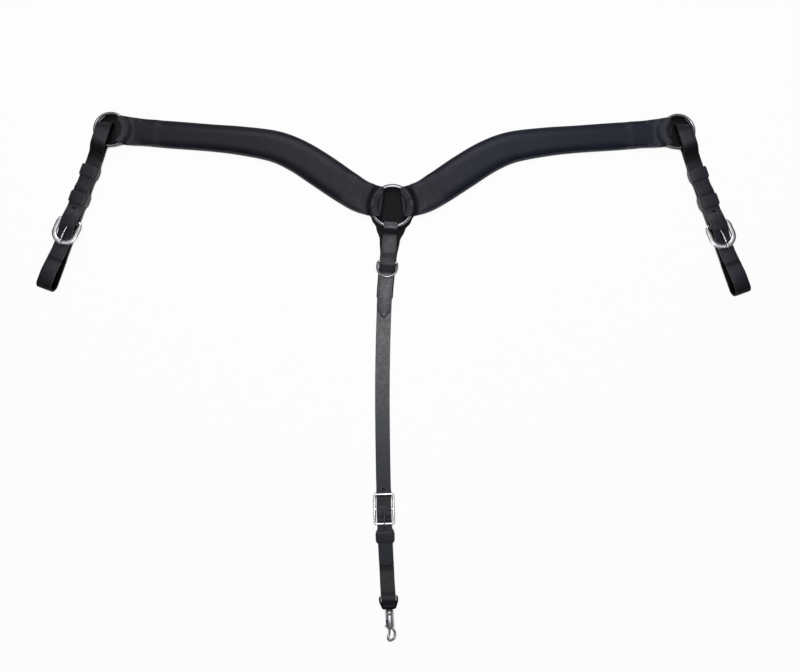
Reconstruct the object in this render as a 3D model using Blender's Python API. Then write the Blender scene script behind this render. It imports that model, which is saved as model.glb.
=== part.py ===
# A horse's leather breast collar with its tug straps, centre strap and swivel snap.
# It lies flat on its back: X runs across the chest, +Y points to the neck, +Z out of the face.
# The origin is the middle of the centre ring, on the back of the leather safe behind it.

import math

import bmesh
import bpy
from mathutils import Vector

for leftover in list(bpy.data.objects):
    bpy.data.objects.remove(leftover, do_unlink=True)

MM = 0.001

# Leather thicknesses and the gaps between pieces
FACE_LEATHER = 2.8 * MM
LINING_LEATHER = 2.2 * MM
STRAP_LEATHER = 3.0 * MM
SNAP_LEATHER = 2.4 * MM
KEEPER_LEATHER = 1.6 * MM
FIT = 0.3 * MM
LAYER_GAP = 0.5 * MM
RING_PLAY = 0.7 * MM
SIDE_PLAY = 0.4 * MM

# Widths of the straps and keepers
STRAP_WIDTH = 25.4 * MM
KEEPER_LENGTH = 20.0 * MM

# Rings: bore and wire
CENTRE_BORE = 63.5 * MM
CENTRE_WIRE = 6.0 * MM
OUTER_BORE = 50.8 * MM
OUTER_WIRE = 5.5 * MM
OUTER_PLAY = 0.5 * MM
FLIP_PLAY = 2.0 * MM

# One half of the breast: places across and up, with the width there
BREAST_LINE = [
    (15.5 * MM, 5.5 * MM, 47.0 * MM),
    (52.0 * MM, 16.5 * MM, 55.0 * MM),
    (80.0 * MM, 33.0 * MM, 58.5 * MM),
    (122.0 * MM, 61.2 * MM, 60.0 * MM),
    (164.0 * MM, 87.2 * MM, 57.5 * MM),
    (205.0 * MM, 104.0 * MM, 54.0 * MM),
    (261.0 * MM, 113.3 * MM, 49.5 * MM),
    (317.0 * MM, 118.6 * MM, 46.5 * MM),
    (400.0 * MM, 124.6 * MM, 46.5 * MM),
]
RING_REACH = 490.5 * MM
RING_RISE = 131.0 * MM
END_WIDTH = 41.0 * MM
END_FOLD_INSET = 11.0 * MM
RETURN_TAIL = 60.0 * MM
PANEL_RISE = 4.8 * MM
PANEL_RIM = 0.18
PANEL_SHOULDER = 0.40
PAD_EDGE = 0.30
PAD_CLEARANCE = 0.7 * MM
TAB_RADIUS = 28.0 * MM
LINING_START = 27.0 * MM

# Tug straps, measured from the middle of the outer ring along the strap
TUG_ANGLE = math.radians(20)
TUG_OFFSET = 9.0 * MM
TUG_FOLD = -9.0 * MM
HEEL_BAR = 172.0 * MM
KEEPER_ABOVE_BAR = 40.5 * MM
TAIL_PAST_KEEPER = 13.5 * MM
KEEPER_SPACING = 50.0 * MM
TIP_PAST_KEEPER = 15.5 * MM
LOWER_KEEPER = HEEL_BAR - KEEPER_ABOVE_BAR
CHAPE_TAIL = LOWER_KEEPER - TAIL_PAST_KEEPER
UPPER_KEEPER = LOWER_KEEPER - KEEPER_SPACING
TUG_TIP = UPPER_KEEPER - TIP_PAST_KEEPER
TUG_STEP = 80.0 * MM
TUG_BOTTOM = 300.0 * MM
TUG_LOOP_HEIGHT = 26.0 * MM
HOLE_PITCH = 38.1 * MM
HOLE_WIDTH = 5.0 * MM
FRAME_WIDTH = 46.5 * MM
FRAME_LENGTH = 46.0 * MM
FRAME_BAND = 8.5 * MM
FRAME_THICKNESS = 4.0 * MM
HEEL_WIRE = 5.0 * MM
TUG_TONGUE_WIRE = 3.0 * MM

# Centre strap, measured from the middle of the centre ring along the strap
CENTRE_LINE = [
    (0.0, 0.0),
    (-5.3 * MM, -76.0 * MM),
    (-12.3 * MM, -160.0 * MM),
    (-15.0 * MM, -300.0 * MM),
    (-12.8 * MM, -450.0 * MM),
    (-8.8 * MM, -560.0 * MM),
    (-4.4 * MM, -640.0 * MM),
    (-1.8 * MM, -676.0 * MM),
]
CENTRE_FOLD = 25.0 * MM
RAMP_LENGTH = 14.0 * MM
DEE_PLACE = 97.0 * MM
DEE_WIDTH = 38.5 * MM
DEE_DEPTH = 24.0 * MM
DEE_WIRE = 4.2 * MM
FRONT_TIP = 193.0 * MM
FRONT_POINT = 14.0 * MM
BUCKLE_PLACE = 525.0 * MM
BUCKLE_WIDTH = 37.5 * MM
BUCKLE_HEIGHT = 54.5 * MM
BUCKLE_WIRE = 4.5 * MM
CENTRE_TONGUE_WIRE = 2.4 * MM
CENTRE_HOLE_PITCH = 32.5 * MM
KEEPER_BELOW_BUCKLE = 48.5 * MM
LAP_PAST_KEEPER = 48.5 * MM
CENTRE_KEEPER = BUCKLE_PLACE + KEEPER_BELOW_BUCKLE
STRAP_END = CENTRE_KEEPER + LAP_PAST_KEEPER

# Leather safe behind the centre ring: half widths at distances down the strap
SAFE_RADIUS = 40.0 * MM
SAFE_HALF_WIDTHS = [
    (14.0 * MM, 37.5 * MM),
    (24.0 * MM, 34.3 * MM),
    (38.0 * MM, 25.2 * MM),
    (59.0 * MM, 17.5 * MM),
    (86.0 * MM, 14.6 * MM),
    (158.0 * MM, 14.3 * MM),
]
SAFE_STEPS = [18 * MM, 24 * MM, 31 * MM, 38 * MM, 45 * MM, 52 * MM, 59 * MM, 72 * MM, 86 * MM,
              104 * MM, 122 * MM, 140 * MM, 158 * MM]

# Snap strap: where its layers part before the eye, where they lie flat on it, and its bends
BACK_PARTS = 46.0 * MM
FRONT_PARTS = 44.0 * MM
BACK_LIES = 18.0 * MM
FRONT_LIES = 8.0 * MM
PARTING_BEND = 30.0 * MM
LYING_BEND = 20.0 * MM
SETTLE_BELOW_BUCKLE = 20.0 * MM
SNAP_STEP = 30.0 * MM
FOLD_LENGTH = 17.3 * MM
FOLD_BEND = 1.9 * MM
FOLD_HEIGHT = 6.4 * MM
FOLD_DIPS = 3.0 * MM
FOLD_NARROWS = 8.0 * MM
FOLD_END_WIDTH = 17.6 * MM
CHAPE_SLOT = 17.0 * MM

# Swivel snap, measured from its eye's bar along its axis
SNAP_STRAP_SHOWN = 54.0 * MM
EYE_PLACE = STRAP_END + SNAP_STRAP_SHOWN
EYE_HEIGHT = 9.8 * MM
EYE_WIDTH = 33.6 * MM
EYE_DEPTH = 21.5 * MM
EYE_SHOULDER = 9.0 * MM
EYE_FOOT = 10.5 * MM
EYE_WIRE = 3.5 * MM
SNAP_ROLL = math.radians(40)
STEM_RADIUS = 2.5 * MM
HEAD_RADIUS = 4.1 * MM
HEAD_TOP = 28.1 * MM
HEAD_BOTTOM = 31.7 * MM
BARREL_TOP = 24.6 * MM
BARREL_BOTTOM = 56.4 * MM
BARREL_RADIUS = 7.6 * MM
HOOK_WIRE = 5.2 * MM
HOOK_BOTTOM = 76.4 * MM
BOLT_OFFSET = -2.6 * MM
BOLT_RADIUS = 2.2 * MM
BOLT_TOP = 47.0 * MM
BOLT_END = 63.5 * MM
BOLT_TRAVEL = 8.0 * MM
BORE_TOP = 35.4 * MM
KNOB_PLACE = 49.4 * MM
KNOB_RADIUS = 2.4 * MM
KNOB_REACH = 11.6 * MM
SPRING_WIRE = 0.8 * MM
SPRING_TURNS = 5

# Heights that follow from the stack of leather and wire
BACK_BASE = LINING_LEATHER + FIT
RETURN_MID = BACK_BASE + FACE_LEATHER / 2
STRAP_BACK_MID = BACK_BASE + STRAP_LEATHER / 2
LAYER_STEP = STRAP_LEATHER + LAYER_GAP
CENTRE_RING_HEIGHT = BACK_BASE + STRAP_LEATHER + RING_PLAY + CENTRE_WIRE / 2
OUTER_RING_HEIGHT = BACK_BASE + STRAP_LEATHER + OUTER_PLAY + OUTER_WIRE / 2
CENTRE_RING_RADIUS = (CENTRE_BORE + CENTRE_WIRE) / 2
OUTER_RING_RADIUS = (OUTER_BORE + OUTER_WIRE) / 2

ARC_STEP = math.radians(24)
SHARP = math.radians(35)


def material(name, colour, roughness, metallic):
    look = bpy.data.materials.new(name)
    look.use_nodes = True
    shader = look.node_tree.nodes["Principled BSDF"]
    shader.inputs["Base Color"].default_value = (*colour, 1)
    shader.inputs["Roughness"].default_value = roughness
    shader.inputs["Metallic"].default_value = metallic
    return look


FACE_LOOK = material("glazed_bridle_leather", (0.026, 0.024, 0.029), 0.38, 0)
STRAP_LOOK = material("waxed_strap_leather", (0.030, 0.028, 0.033), 0.36, 0)
LINING_LOOK = material("plain_lining_leather", (0.014, 0.014, 0.016), 0.60, 0)
KEEPER_LOOK = material("keeper_leather", (0.040, 0.037, 0.043), 0.42, 0)
PAD_LOOK = material("felt_padding", (0.060, 0.058, 0.056), 0.95, 0)
RING_LOOK = material("nickel_plated_wire", (0.78, 0.78, 0.77), 0.16, 1)
CAST_LOOK = material("nickel_plated_casting", (0.74, 0.74, 0.73), 0.22, 1)
SPRING_LOOK = material("spring_steel", (0.46, 0.46, 0.47), 0.34, 1)


def empty(name, place, parent=None, turn=0.0):
    frame = bpy.data.objects.new(name, None)
    frame.location = place
    frame.rotation_euler = (0, 0, turn)
    frame.parent = parent
    bpy.context.collection.objects.link(frame)
    return frame


def to_object(name, bm, look, parent):
    mesh = bpy.data.meshes.new(name)
    bmesh.ops.recalc_face_normals(bm, faces=bm.faces)
    bm.to_mesh(mesh)
    bm.free()
    mesh.materials.append(look)
    mesh.shade_smooth()
    mesh.set_sharp_from_angle(angle=SHARP)
    obj = bpy.data.objects.new(name, mesh)
    obj.parent = parent
    bpy.context.collection.objects.link(obj)
    return obj


def helper(obj):
    obj.hide_render = True
    obj.display_type = "WIRE"
    return obj


def boolean(obj, other, operation):
    step = obj.modifiers.new(other.name, "BOOLEAN")
    step.operation = operation
    step.object = helper(other)
    step.solver = "EXACT"


class Line:
    """A smooth line on the floor through a few points, measured along its length."""

    def __init__(self, points, samples=12):
        spots = [Vector(point) for point in points]
        padded = [2 * spots[0] - spots[1], *spots, 2 * spots[-1] - spots[-2]]
        self.points = [spots[0]]
        for i in range(1, len(padded) - 2):
            for k in range(1, samples + 1):
                self.points.append(self.between(padded[i - 1:i + 3], k / samples))
        self.lengths = [0.0]
        for first, second in zip(self.points, self.points[1:]):
            self.lengths.append(self.lengths[-1] + (second - first).xy.length)

    def between(self, four, t):
        a, b, c, d = four
        return 0.5 * (2 * b + (c - a) * t + (2 * a - 5 * b + 4 * c - d) * t ** 2
                      + (3 * b - a - 3 * c + d) * t ** 3)

    def at(self, distance):
        """The place and the heading at a distance, straight on past both ends."""
        last = len(self.points) - 2
        i = 0
        while i < last and self.lengths[i + 1] < distance:
            i += 1
        run = self.points[i + 1] - self.points[i]
        share = (distance - self.lengths[i]) / run.xy.length
        return self.points[i] + run * share, run.xy.normalized()


def value_at(table, distance):
    """A smooth value between the pairs of a table."""
    if distance <= table[0][0]:
        return table[0][1]
    for (start, low), (end, high) in zip(table, table[1:]):
        if distance <= end:
            t = (distance - start) / (end - start)
            return low + (high - low) * t * t * (3 - 2 * t)
    return table[-1][1]


def route(corners, closed=False, step=18 * MM):
    """Straight runs joined by arcs, through corners of (distance, height, radius)."""
    points = []
    count = len(corners)
    for i, (along, height, radius) in enumerate(corners):
        here = Vector((along, height))
        if radius == 0 or (not closed and i in (0, count - 1)):
            points.append(here)
            continue
        before = Vector(corners[i - 1][:2])
        after = Vector(corners[(i + 1) % count][:2])
        inward = (here - before).normalized()
        outward = (after - here).normalized()
        turn = math.atan2(inward.x * outward.y - inward.y * outward.x, inward.dot(outward))
        reach = radius * math.tan(abs(turn) / 2)
        side = Vector((-inward.y, inward.x)) * math.copysign(radius, turn)
        start = here - inward * reach
        centre = start + side
        steps = max(1, math.ceil(abs(turn) / ARC_STEP))
        for k in range(steps + 1):
            angle = turn * k / steps
            spoke = start - centre
            spin = Vector((spoke.x * math.cos(angle) - spoke.y * math.sin(angle),
                           spoke.x * math.sin(angle) + spoke.y * math.cos(angle)))
            spot = centre + spin
            if not points or (spot - points[-1]).length > 0.01 * MM:
                points.append(spot)
    if closed:
        return points
    filled = [points[0]]
    for first, second in zip(points, points[1:]):
        parts = max(1, math.ceil((second - first).length / step))
        filled += [first.lerp(second, k / parts) for k in range(1, parts + 1)]
    return filled


def strap(name, path, line, half_width, thickness, look, parent, columns=(-1, 1), lift=None):
    """A leather strap along a path of (distance, height) over a line on the floor."""
    bm = bmesh.new()
    runs = [0.0]
    for first, second in zip(path, path[1:]):
        runs.append(runs[-1] + (second - first).length)
    rows = []
    for (distance, height), run in zip(path, runs):
        place, heading = line.at(distance)
        across = Vector((heading.y, -heading.x)) * half_width(distance, run, runs[-1])
        row = []
        for column in columns:
            rise = lift(distance, column) if lift else 0
            spot = place.xy + across * column
            row.append(bm.verts.new((spot.x, spot.y, height + rise)))
        rows.append(row)
    for row, following in zip(rows, rows[1:]):
        for i in range(len(columns) - 1):
            bm.faces.new((row[i], row[i + 1], following[i + 1], following[i]))
    obj = to_object(name, bm, look, parent)
    wall = obj.modifiers.new("thickness", "SOLIDIFY")
    wall.thickness = thickness
    wall.offset = 0
    wall.use_even_offset = True
    return obj


def keeper(name, top, bottom, look, parent, place):
    """A leather loop round a strap; top and bottom are its inner heights."""
    half = STRAP_WIDTH / 2 + SIDE_PLAY + KEEPER_LEATHER / 2
    low = bottom - KEEPER_LEATHER / 2
    high = top + KEEPER_LEATHER / 2
    bend = KEEPER_LEATHER / 2 + 0.6 * MM
    loop = route([(-half, low, bend), (half, low, bend), (half, high, bend), (-half, high, bend)], True)
    bm = bmesh.new()
    edges = []
    for y in (KEEPER_LENGTH / 2, -KEEPER_LENGTH / 2):
        edges.append([bm.verts.new((x, y, z)) for x, z in loop])
    for i in range(len(loop)):
        j = (i + 1) % len(loop)
        bm.faces.new((edges[0][i], edges[0][j], edges[1][j], edges[1][i]))
    obj = to_object(name, bm, look, parent)
    obj.location = place
    wall = obj.modifiers.new("thickness", "SOLIDIFY")
    wall.thickness = KEEPER_LEATHER
    wall.offset = 0
    wall.use_even_offset = True
    return obj


def rod(name, points, section, normal, look, parent, closed=False, sides=8):
    """A bar of oval section along points in one plane; section gives its two half sizes."""
    bm = bmesh.new()
    rings = []
    count = len(points)
    for i, point in enumerate(points):
        before = points[i - 1] if closed or i > 0 else point
        after = points[(i + 1) % count] if closed or i < count - 1 else point
        side = (after - before).normalized().cross(normal)
        wide, tall = section(i) if callable(section) else section
        ring = []
        for k in range(sides):
            angle = math.tau * (k + 0.5) / sides
            offset = side * math.cos(angle) * wide + normal * math.sin(angle) * tall
            ring.append(bm.verts.new(point + offset))
        rings.append(ring)
    pairs = list(zip(rings, rings[1:]))
    if closed:
        pairs.append((rings[-1], rings[0]))
    for ring, following in pairs:
        for k in range(sides):
            n = (k + 1) % sides
            bm.faces.new((ring[k], ring[n], following[n], following[k]))
    if not closed:
        bm.faces.new(rings[0])
        bm.faces.new(rings[-1])
    return to_object(name, bm, look, parent)


def cylinder(name, start, end, radius, look, parent, sides=16):
    """A round bar between two points."""
    bm = bmesh.new()
    axis = end - start
    bmesh.ops.create_cone(bm, cap_ends=True, segments=sides, radius1=radius, radius2=radius,
                          depth=axis.length)
    turn = Vector((0, 0, 1)).rotation_difference(axis)
    bmesh.ops.rotate(bm, verts=bm.verts, matrix=turn.to_matrix())
    bmesh.ops.translate(bm, verts=bm.verts, vec=(start + end) / 2)
    return to_object(name, bm, look, parent)


def slot_cutter(name, centre, length, width, low, high, parent, turn=0.0):
    """A round-ended cutter that stands upright; its length runs along Y."""
    bm = bmesh.new()
    straight = max(length - width, 0) / 2
    rim = []
    for k in range(12):
        angle = math.tau * (k + 0.5) / 12
        x = width / 2 * math.cos(angle)
        y = width / 2 * math.sin(angle) + math.copysign(straight, math.sin(angle))
        rim.append(bm.verts.new((x, y, low)))
    face = bm.faces.new(rim)
    raised = bmesh.ops.extrude_face_region(bm, geom=[face])
    tops = [item for item in raised["geom"] if isinstance(item, bmesh.types.BMVert)]
    bmesh.ops.translate(bm, verts=tops, vec=(0, 0, high - low))
    obj = to_object(name, bm, STRAP_LOOK, parent)
    obj.location = centre
    obj.rotation_euler = (0, 0, turn)
    return obj


def ring(name, radius, wire, look, parent, place):
    bpy.ops.mesh.primitive_torus_add(major_radius=radius, minor_radius=wire / 2,
                                     major_segments=32, minor_segments=8)
    obj = bpy.context.object
    obj.name = name
    obj.data.name = name
    obj.data.materials.append(look)
    obj.data.shade_smooth()
    obj.parent = parent
    obj.location = place
    return obj


def strap_width(point=0.0, round_end=0.0):
    """Half the strap's width, with a pointed start and a rounded end of these lengths."""
    def half(distance, run, total):
        share = 1.0
        if point and run < point:
            share = 0.1 + 0.9 * run / point
        left = (total - run) / round_end if round_end else 1.0
        if left < 1:
            share = 0.25 + 0.75 * math.sqrt(1 - (1 - left) ** 2)
        return STRAP_WIDTH / 2 * share
    return half


def build_breast(side, word):
    """One half of the breast: lining, padding and the face leather folded round both rings."""
    frame = empty(word + "_breast_pivot", (0, 0, 0))
    points = [(side * x, y, width) for x, y, width in BREAST_LINE]
    points.append((side * RING_REACH, RING_RISE, END_WIDTH))
    line = Line(points)
    ring_at = line.lengths[-1]
    fold = ring_at - END_FOLD_INSET
    widths = [(length, point.z) for length, point in zip(line.lengths, line.points)]

    def half_width(distance, run, total):
        return value_at(widths, distance) / 2

    def lining_half_width(distance, run, total):
        body = half_width(distance, run, total) if distance < ring_at else 0
        past = distance - ring_at
        tab = math.sqrt(max(TAB_RADIUS ** 2 - past ** 2, (0.2 * TAB_RADIUS) ** 2))
        return max(body, tab) if abs(past) < TAB_RADIUS else body

    inner_top = CENTRE_RING_HEIGHT + CENTRE_WIRE / 2 + RING_PLAY + FACE_LEATHER / 2
    outer_top = OUTER_RING_HEIGHT + OUTER_WIRE / 2 + FLIP_PLAY + FACE_LEATHER / 2
    over_tail = RETURN_MID + FACE_LEATHER + FIT
    skin = FACE_LEATHER / 2
    inner_bend = (inner_top - RETURN_MID) / 2
    outer_bend = (outer_top - RETURN_MID) / 2
    inner_clear = CENTRE_RING_RADIUS + CENTRE_WIRE / 2 - line.points[0].xy.length + 7 * MM
    outer_clear = fold - (OUTER_RING_RADIUS + OUTER_WIRE / 2 - END_FOLD_INSET) - 3 * MM
    face_path = route([
        (RETURN_TAIL, RETURN_MID, 0),
        (skin, RETURN_MID, inner_bend),
        (skin, inner_top, inner_bend),
        (inner_clear, inner_top, 10 * MM),
        (inner_clear + 14 * MM, over_tail, 14 * MM),
        (RETURN_TAIL + 6 * MM, over_tail, 14 * MM),
        (RETURN_TAIL + 20 * MM, RETURN_MID, 20 * MM),
        (fold - RETURN_TAIL - 20 * MM, RETURN_MID, 20 * MM),
        (fold - RETURN_TAIL - 6 * MM, over_tail, 14 * MM),
        (outer_clear - 14 * MM, over_tail, 14 * MM),
        (outer_clear, outer_top, 10 * MM),
        (fold - skin, outer_top, outer_bend),
        (fold - skin, RETURN_MID, outer_bend),
        (fold - RETURN_TAIL, RETURN_MID, 0),
    ], step=24 * MM)
    pad_from = RETURN_TAIL + 12 * MM
    pad_to = fold - pad_from

    def rise(distance, column):
        ends = value_at([(0, 0), (18 * MM, 1)], min(distance - RETURN_TAIL, fold - RETURN_TAIL - distance))
        profile = [(PANEL_RIM, 0.0), (PANEL_SHOULDER, 0.85), (1.0, 1.0)]
        inset = 1 - abs(column)
        for (low, base), (high, top) in zip(profile, profile[1:]):
            if low <= inset <= high:
                return PANEL_RISE * ends * (base + (top - base) * (inset - low) / (high - low))
        return 0.0

    rim = 1 - PANEL_RIM
    shoulder = 1 - PANEL_SHOULDER
    strap(word + "_breast_face", face_path, line, half_width, FACE_LEATHER, FACE_LOOK, frame,
          (-1, -rim, -shoulder, 0, shoulder, rim, 1), rise)

    tab_end = ring_at + TAB_RADIUS
    steps = [ring_at + TAB_RADIUS * math.sin(math.radians(angle)) for angle in range(-75, 91, 15)]
    lining_path = route([(LINING_START, LINING_LEATHER / 2, 0), (steps[0], LINING_LEATHER / 2, 0)])
    lining_path += [Vector((along, LINING_LEATHER / 2)) for along in steps[1:-1]]
    lining_path.append(Vector((tab_end, LINING_LEATHER / 2)))
    strap(word + "_breast_lining", lining_path, line, lining_half_width, LINING_LEATHER,
          LINING_LOOK, frame)

    bm = bmesh.new()
    pad_columns = [-(1 - PAD_EDGE), -shoulder, 0, shoulder, 1 - PAD_EDGE]
    pad_path = [Vector((pad_from + (pad_to - pad_from) * k / 20, 0)) for k in range(21)]
    rows = []
    for distance, _ in pad_path:
        place, heading = line.at(distance)
        across = Vector((heading.y, -heading.x)) * half_width(distance, 0, 0)
        row = []
        for column in pad_columns:
            spot = place.xy + across * column
            under = RETURN_MID + rise(distance, column) - 1.2 * skin - PAD_CLEARANCE
            top = max(under, BACK_BASE + 0.6 * MM)
            row.append((bm.verts.new((spot.x, spot.y, BACK_BASE)), bm.verts.new((spot.x, spot.y, top))))
        rows.append(row)
    for row, following in zip(rows, rows[1:]):
        for i in range(len(pad_columns) - 1):
            for level in (0, 1):
                bm.faces.new((row[i][level], row[i + 1][level],
                              following[i + 1][level], following[i][level]))
        for edge in (0, -1):
            bm.faces.new((row[edge][0], row[edge][1], following[edge][1], following[edge][0]))
    for row in (rows[0], rows[-1]):
        for i in range(len(pad_columns) - 1):
            bm.faces.new((row[i][0], row[i + 1][0], row[i + 1][1], row[i][1]))
    to_object(word + "_breast_padding", bm, PAD_LOOK, frame)

    hinge_spot = Vector((side * (RING_REACH - OUTER_RING_RADIUS), RING_RISE, OUTER_RING_HEIGHT))
    hinge = empty(word + "_ring_hinge", hinge_spot, frame)
    ring(word + "_ring", OUTER_RING_RADIUS, OUTER_WIRE, RING_LOOK, hinge, (side * OUTER_RING_RADIUS, 0, 0))
    return hinge


def horseshoe_points(half, length, bend):
    """Centre line of a round-ended buckle frame; its heel bar lies on the X axis."""
    corners = [(-half, -half, 0), (-half, 0, bend), (half, 0, bend), (half, -half, 0)]
    points = [Vector((x, y, 0)) for x, y in route(corners, step=7 * MM)]
    middle = -(length - half)
    points = [point for point in points if point.y > middle]
    for k in range(11):
        angle = -math.pi * k / 10
        points.append(Vector((half * math.cos(angle), middle + half * math.sin(angle), 0)))
    return points


def tongue_points(bar_radius, wire, corners):
    """A tongue that wraps its bar, then runs through corners of (distance, height)."""
    bend = bar_radius + FIT + wire / 2
    points = []
    for k in range(9):
        angle = math.radians(-30 - 240 * k / 8)
        points.append(Vector((0, -bend * math.cos(angle), bend * math.sin(angle))))
    for along, height in corners:
        points.append(Vector((0, -along, height)))
    return points


def build_tug(side, word, hinge):
    """One tug strap, buckled back on itself, with its keepers, frame and tongue."""
    frame = empty(word + "_tug_pivot", (side * OUTER_RING_RADIUS, 0, -OUTER_RING_HEIGHT), hinge,
                  side * TUG_ANGLE)
    offset = side * TUG_OFFSET
    line = Line([(offset, 0), (offset, -TUG_BOTTOM)])
    back = STRAP_BACK_MID
    first = back + LAYER_STEP
    second = first + LAYER_STEP
    third = second + LAYER_STEP
    over_ring = OUTER_RING_HEIGHT + OUTER_WIRE / 2 + OUTER_PLAY + STRAP_LEATHER / 2
    ring_bend = (over_ring - back) / 2
    bar_bend = HEEL_WIRE / 2 + FIT + STRAP_LEATHER / 2
    bar_height = first + bar_bend
    over_bar = bar_height + bar_bend
    billet_over = over_bar + LAYER_STEP
    billet_dip = billet_over - 5.2 * MM
    bar_turn = HEEL_BAR + bar_bend
    ramp = LOWER_KEEPER - KEEPER_LENGTH / 2 - 7.5 * MM
    skin = STRAP_LEATHER / 2
    floor = STRAP_LEATHER / 2
    loop_top = TUG_LOOP_HEIGHT - skin
    loop_bend = (loop_top - floor) / 2 - 1.4 * MM
    turn_at = TUG_BOTTOM - skin
    frame_end = HEEL_BAR + FRAME_LENGTH
    path = route([
        (CHAPE_TAIL, first, 0),
        (bar_turn, first, bar_bend),
        (bar_turn, over_bar, bar_bend),
        (HEEL_BAR - 4 * MM, over_bar, 8 * MM),
        (HEEL_BAR - 22 * MM, second, 12 * MM),
        (ramp, second, 12 * MM),
        (ramp - 10 * MM, first, 12 * MM),
        (UPPER_KEEPER - KEEPER_LENGTH / 2 - 13 * MM, first, 12 * MM),
        (OUTER_RING_RADIUS + 10 * MM, over_ring, 12 * MM),
        (TUG_FOLD + skin, over_ring, ring_bend),
        (TUG_FOLD + skin, back, ring_bend),
        (frame_end + 14 * MM, back, 30 * MM),
        (frame_end + 36 * MM, floor, 30 * MM),
        (turn_at, floor, loop_bend),
        (turn_at, loop_top, loop_bend),
        (TUG_BOTTOM - 32 * MM, loop_top, 30 * MM),
        (frame_end + 8 * MM, billet_dip, 25 * MM),
        (HEEL_BAR + 32 * MM, billet_dip, 20 * MM),
        (HEEL_BAR + 9 * MM, billet_over, 12 * MM),
        (HEEL_BAR - 4 * MM, billet_over, 11 * MM),
        (HEEL_BAR - 22 * MM, third, 12 * MM),
        (ramp, third, 12 * MM),
        (ramp - 10 * MM, second, 12 * MM),
        (TUG_TIP + 11 * MM, second, 0),
        (TUG_TIP + 7 * MM, second, 0),
        (TUG_TIP + 3.5 * MM, second, 0),
        (TUG_TIP + 1.2 * MM, second, 0),
        (TUG_TIP, second, 0),
    ], step=TUG_STEP)
    tug = strap(word + "_tug_strap", path, line, strap_width(round_end=11 * MM), STRAP_LEATHER,
                STRAP_LOOK, frame)
    tongue_room = TUG_TONGUE_WIRE + 2 * SIDE_PLAY + 0.6 * MM
    chape_slot = slot_cutter(word + "_chape_slot", (offset, -HEEL_BAR, 0), CHAPE_SLOT, tongue_room,
                             back + skin + 0.2 * MM, over_bar + skin + 0.2 * MM, frame)
    boolean(tug, chape_slot, "DIFFERENCE")
    hole_at = HEEL_BAR + 17 * MM
    tongue_hole = slot_cutter(word + "_tongue_hole", (offset, -hole_at, 0), 13 * MM, tongue_room,
                              bar_height + 2 * MM, billet_over + 3 * MM, frame)
    boolean(tug, tongue_hole, "DIFFERENCE")
    spare_hole = slot_cutter(word + "_spare_hole", (offset, -(hole_at - HOLE_PITCH), 0), HOLE_WIDTH,
                             HOLE_WIDTH, third - skin - 0.2 * MM, third + skin + MM, frame)
    boolean(tug, spare_hole, "DIFFERENCE")

    bottom = BACK_BASE - FIT
    keeper(word + "_upper_keeper", second + skin + FIT, bottom, KEEPER_LOOK, frame,
           (offset, -UPPER_KEEPER, 0))
    keeper(word + "_lower_keeper", third + skin + FIT, bottom, KEEPER_LOOK, frame,
           (offset, -LOWER_KEEPER, 0))

    band = FRAME_BAND / 2
    half = FRAME_WIDTH / 2 - band
    arc_reach = FRAME_LENGTH - band
    arc_height = billet_dip + skin + FIT + FRAME_THICKNESS / 2 + 0.9 * MM
    tilt = math.asin((arc_height - bar_height) / arc_reach)
    outline = horseshoe_points(half, arc_reach, 4 * MM)

    def section(i):
        depth = -outline[i].y
        share = value_at([(1 * MM, 0), (9 * MM, 1)], depth)
        wide = HEEL_WIRE / 2 + (band - HEEL_WIRE / 2) * share
        tall = HEEL_WIRE / 2 + (FRAME_THICKNESS / 2 - HEEL_WIRE / 2) * share
        return wide, tall

    buckle = rod(word + "_tug_buckle", outline, section, Vector((0, 0, 1)), CAST_LOOK, frame, True)
    buckle.location = (offset, -HEEL_BAR, bar_height)
    buckle.rotation_euler = (-tilt, 0, 0)

    wire = TUG_TONGUE_WIRE / 2
    wrap = HEEL_WIRE / 2 + FIT + wire
    rest = arc_height - bar_height + FRAME_THICKNESS / 2 + FIT + wire
    reach = arc_reach * math.cos(tilt)
    points = tongue_points(HEEL_WIRE / 2, TUG_TONGUE_WIRE, [
        (5 * MM, wrap),
        (12 * MM, wrap),
        (18 * MM, wrap + 3.0 * MM),
        (24 * MM, wrap + 5.6 * MM),
        (reach - 6 * MM, rest - 0.4 * MM),
        (reach + 3.5 * MM, rest + 0.3 * MM),
    ])
    tongue = rod(word + "_tug_tongue", points, (wire, wire), Vector((1, 0, 0)), CAST_LOOK, frame, sides=6)
    tongue.location = (offset, -HEEL_BAR, bar_height)


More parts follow.
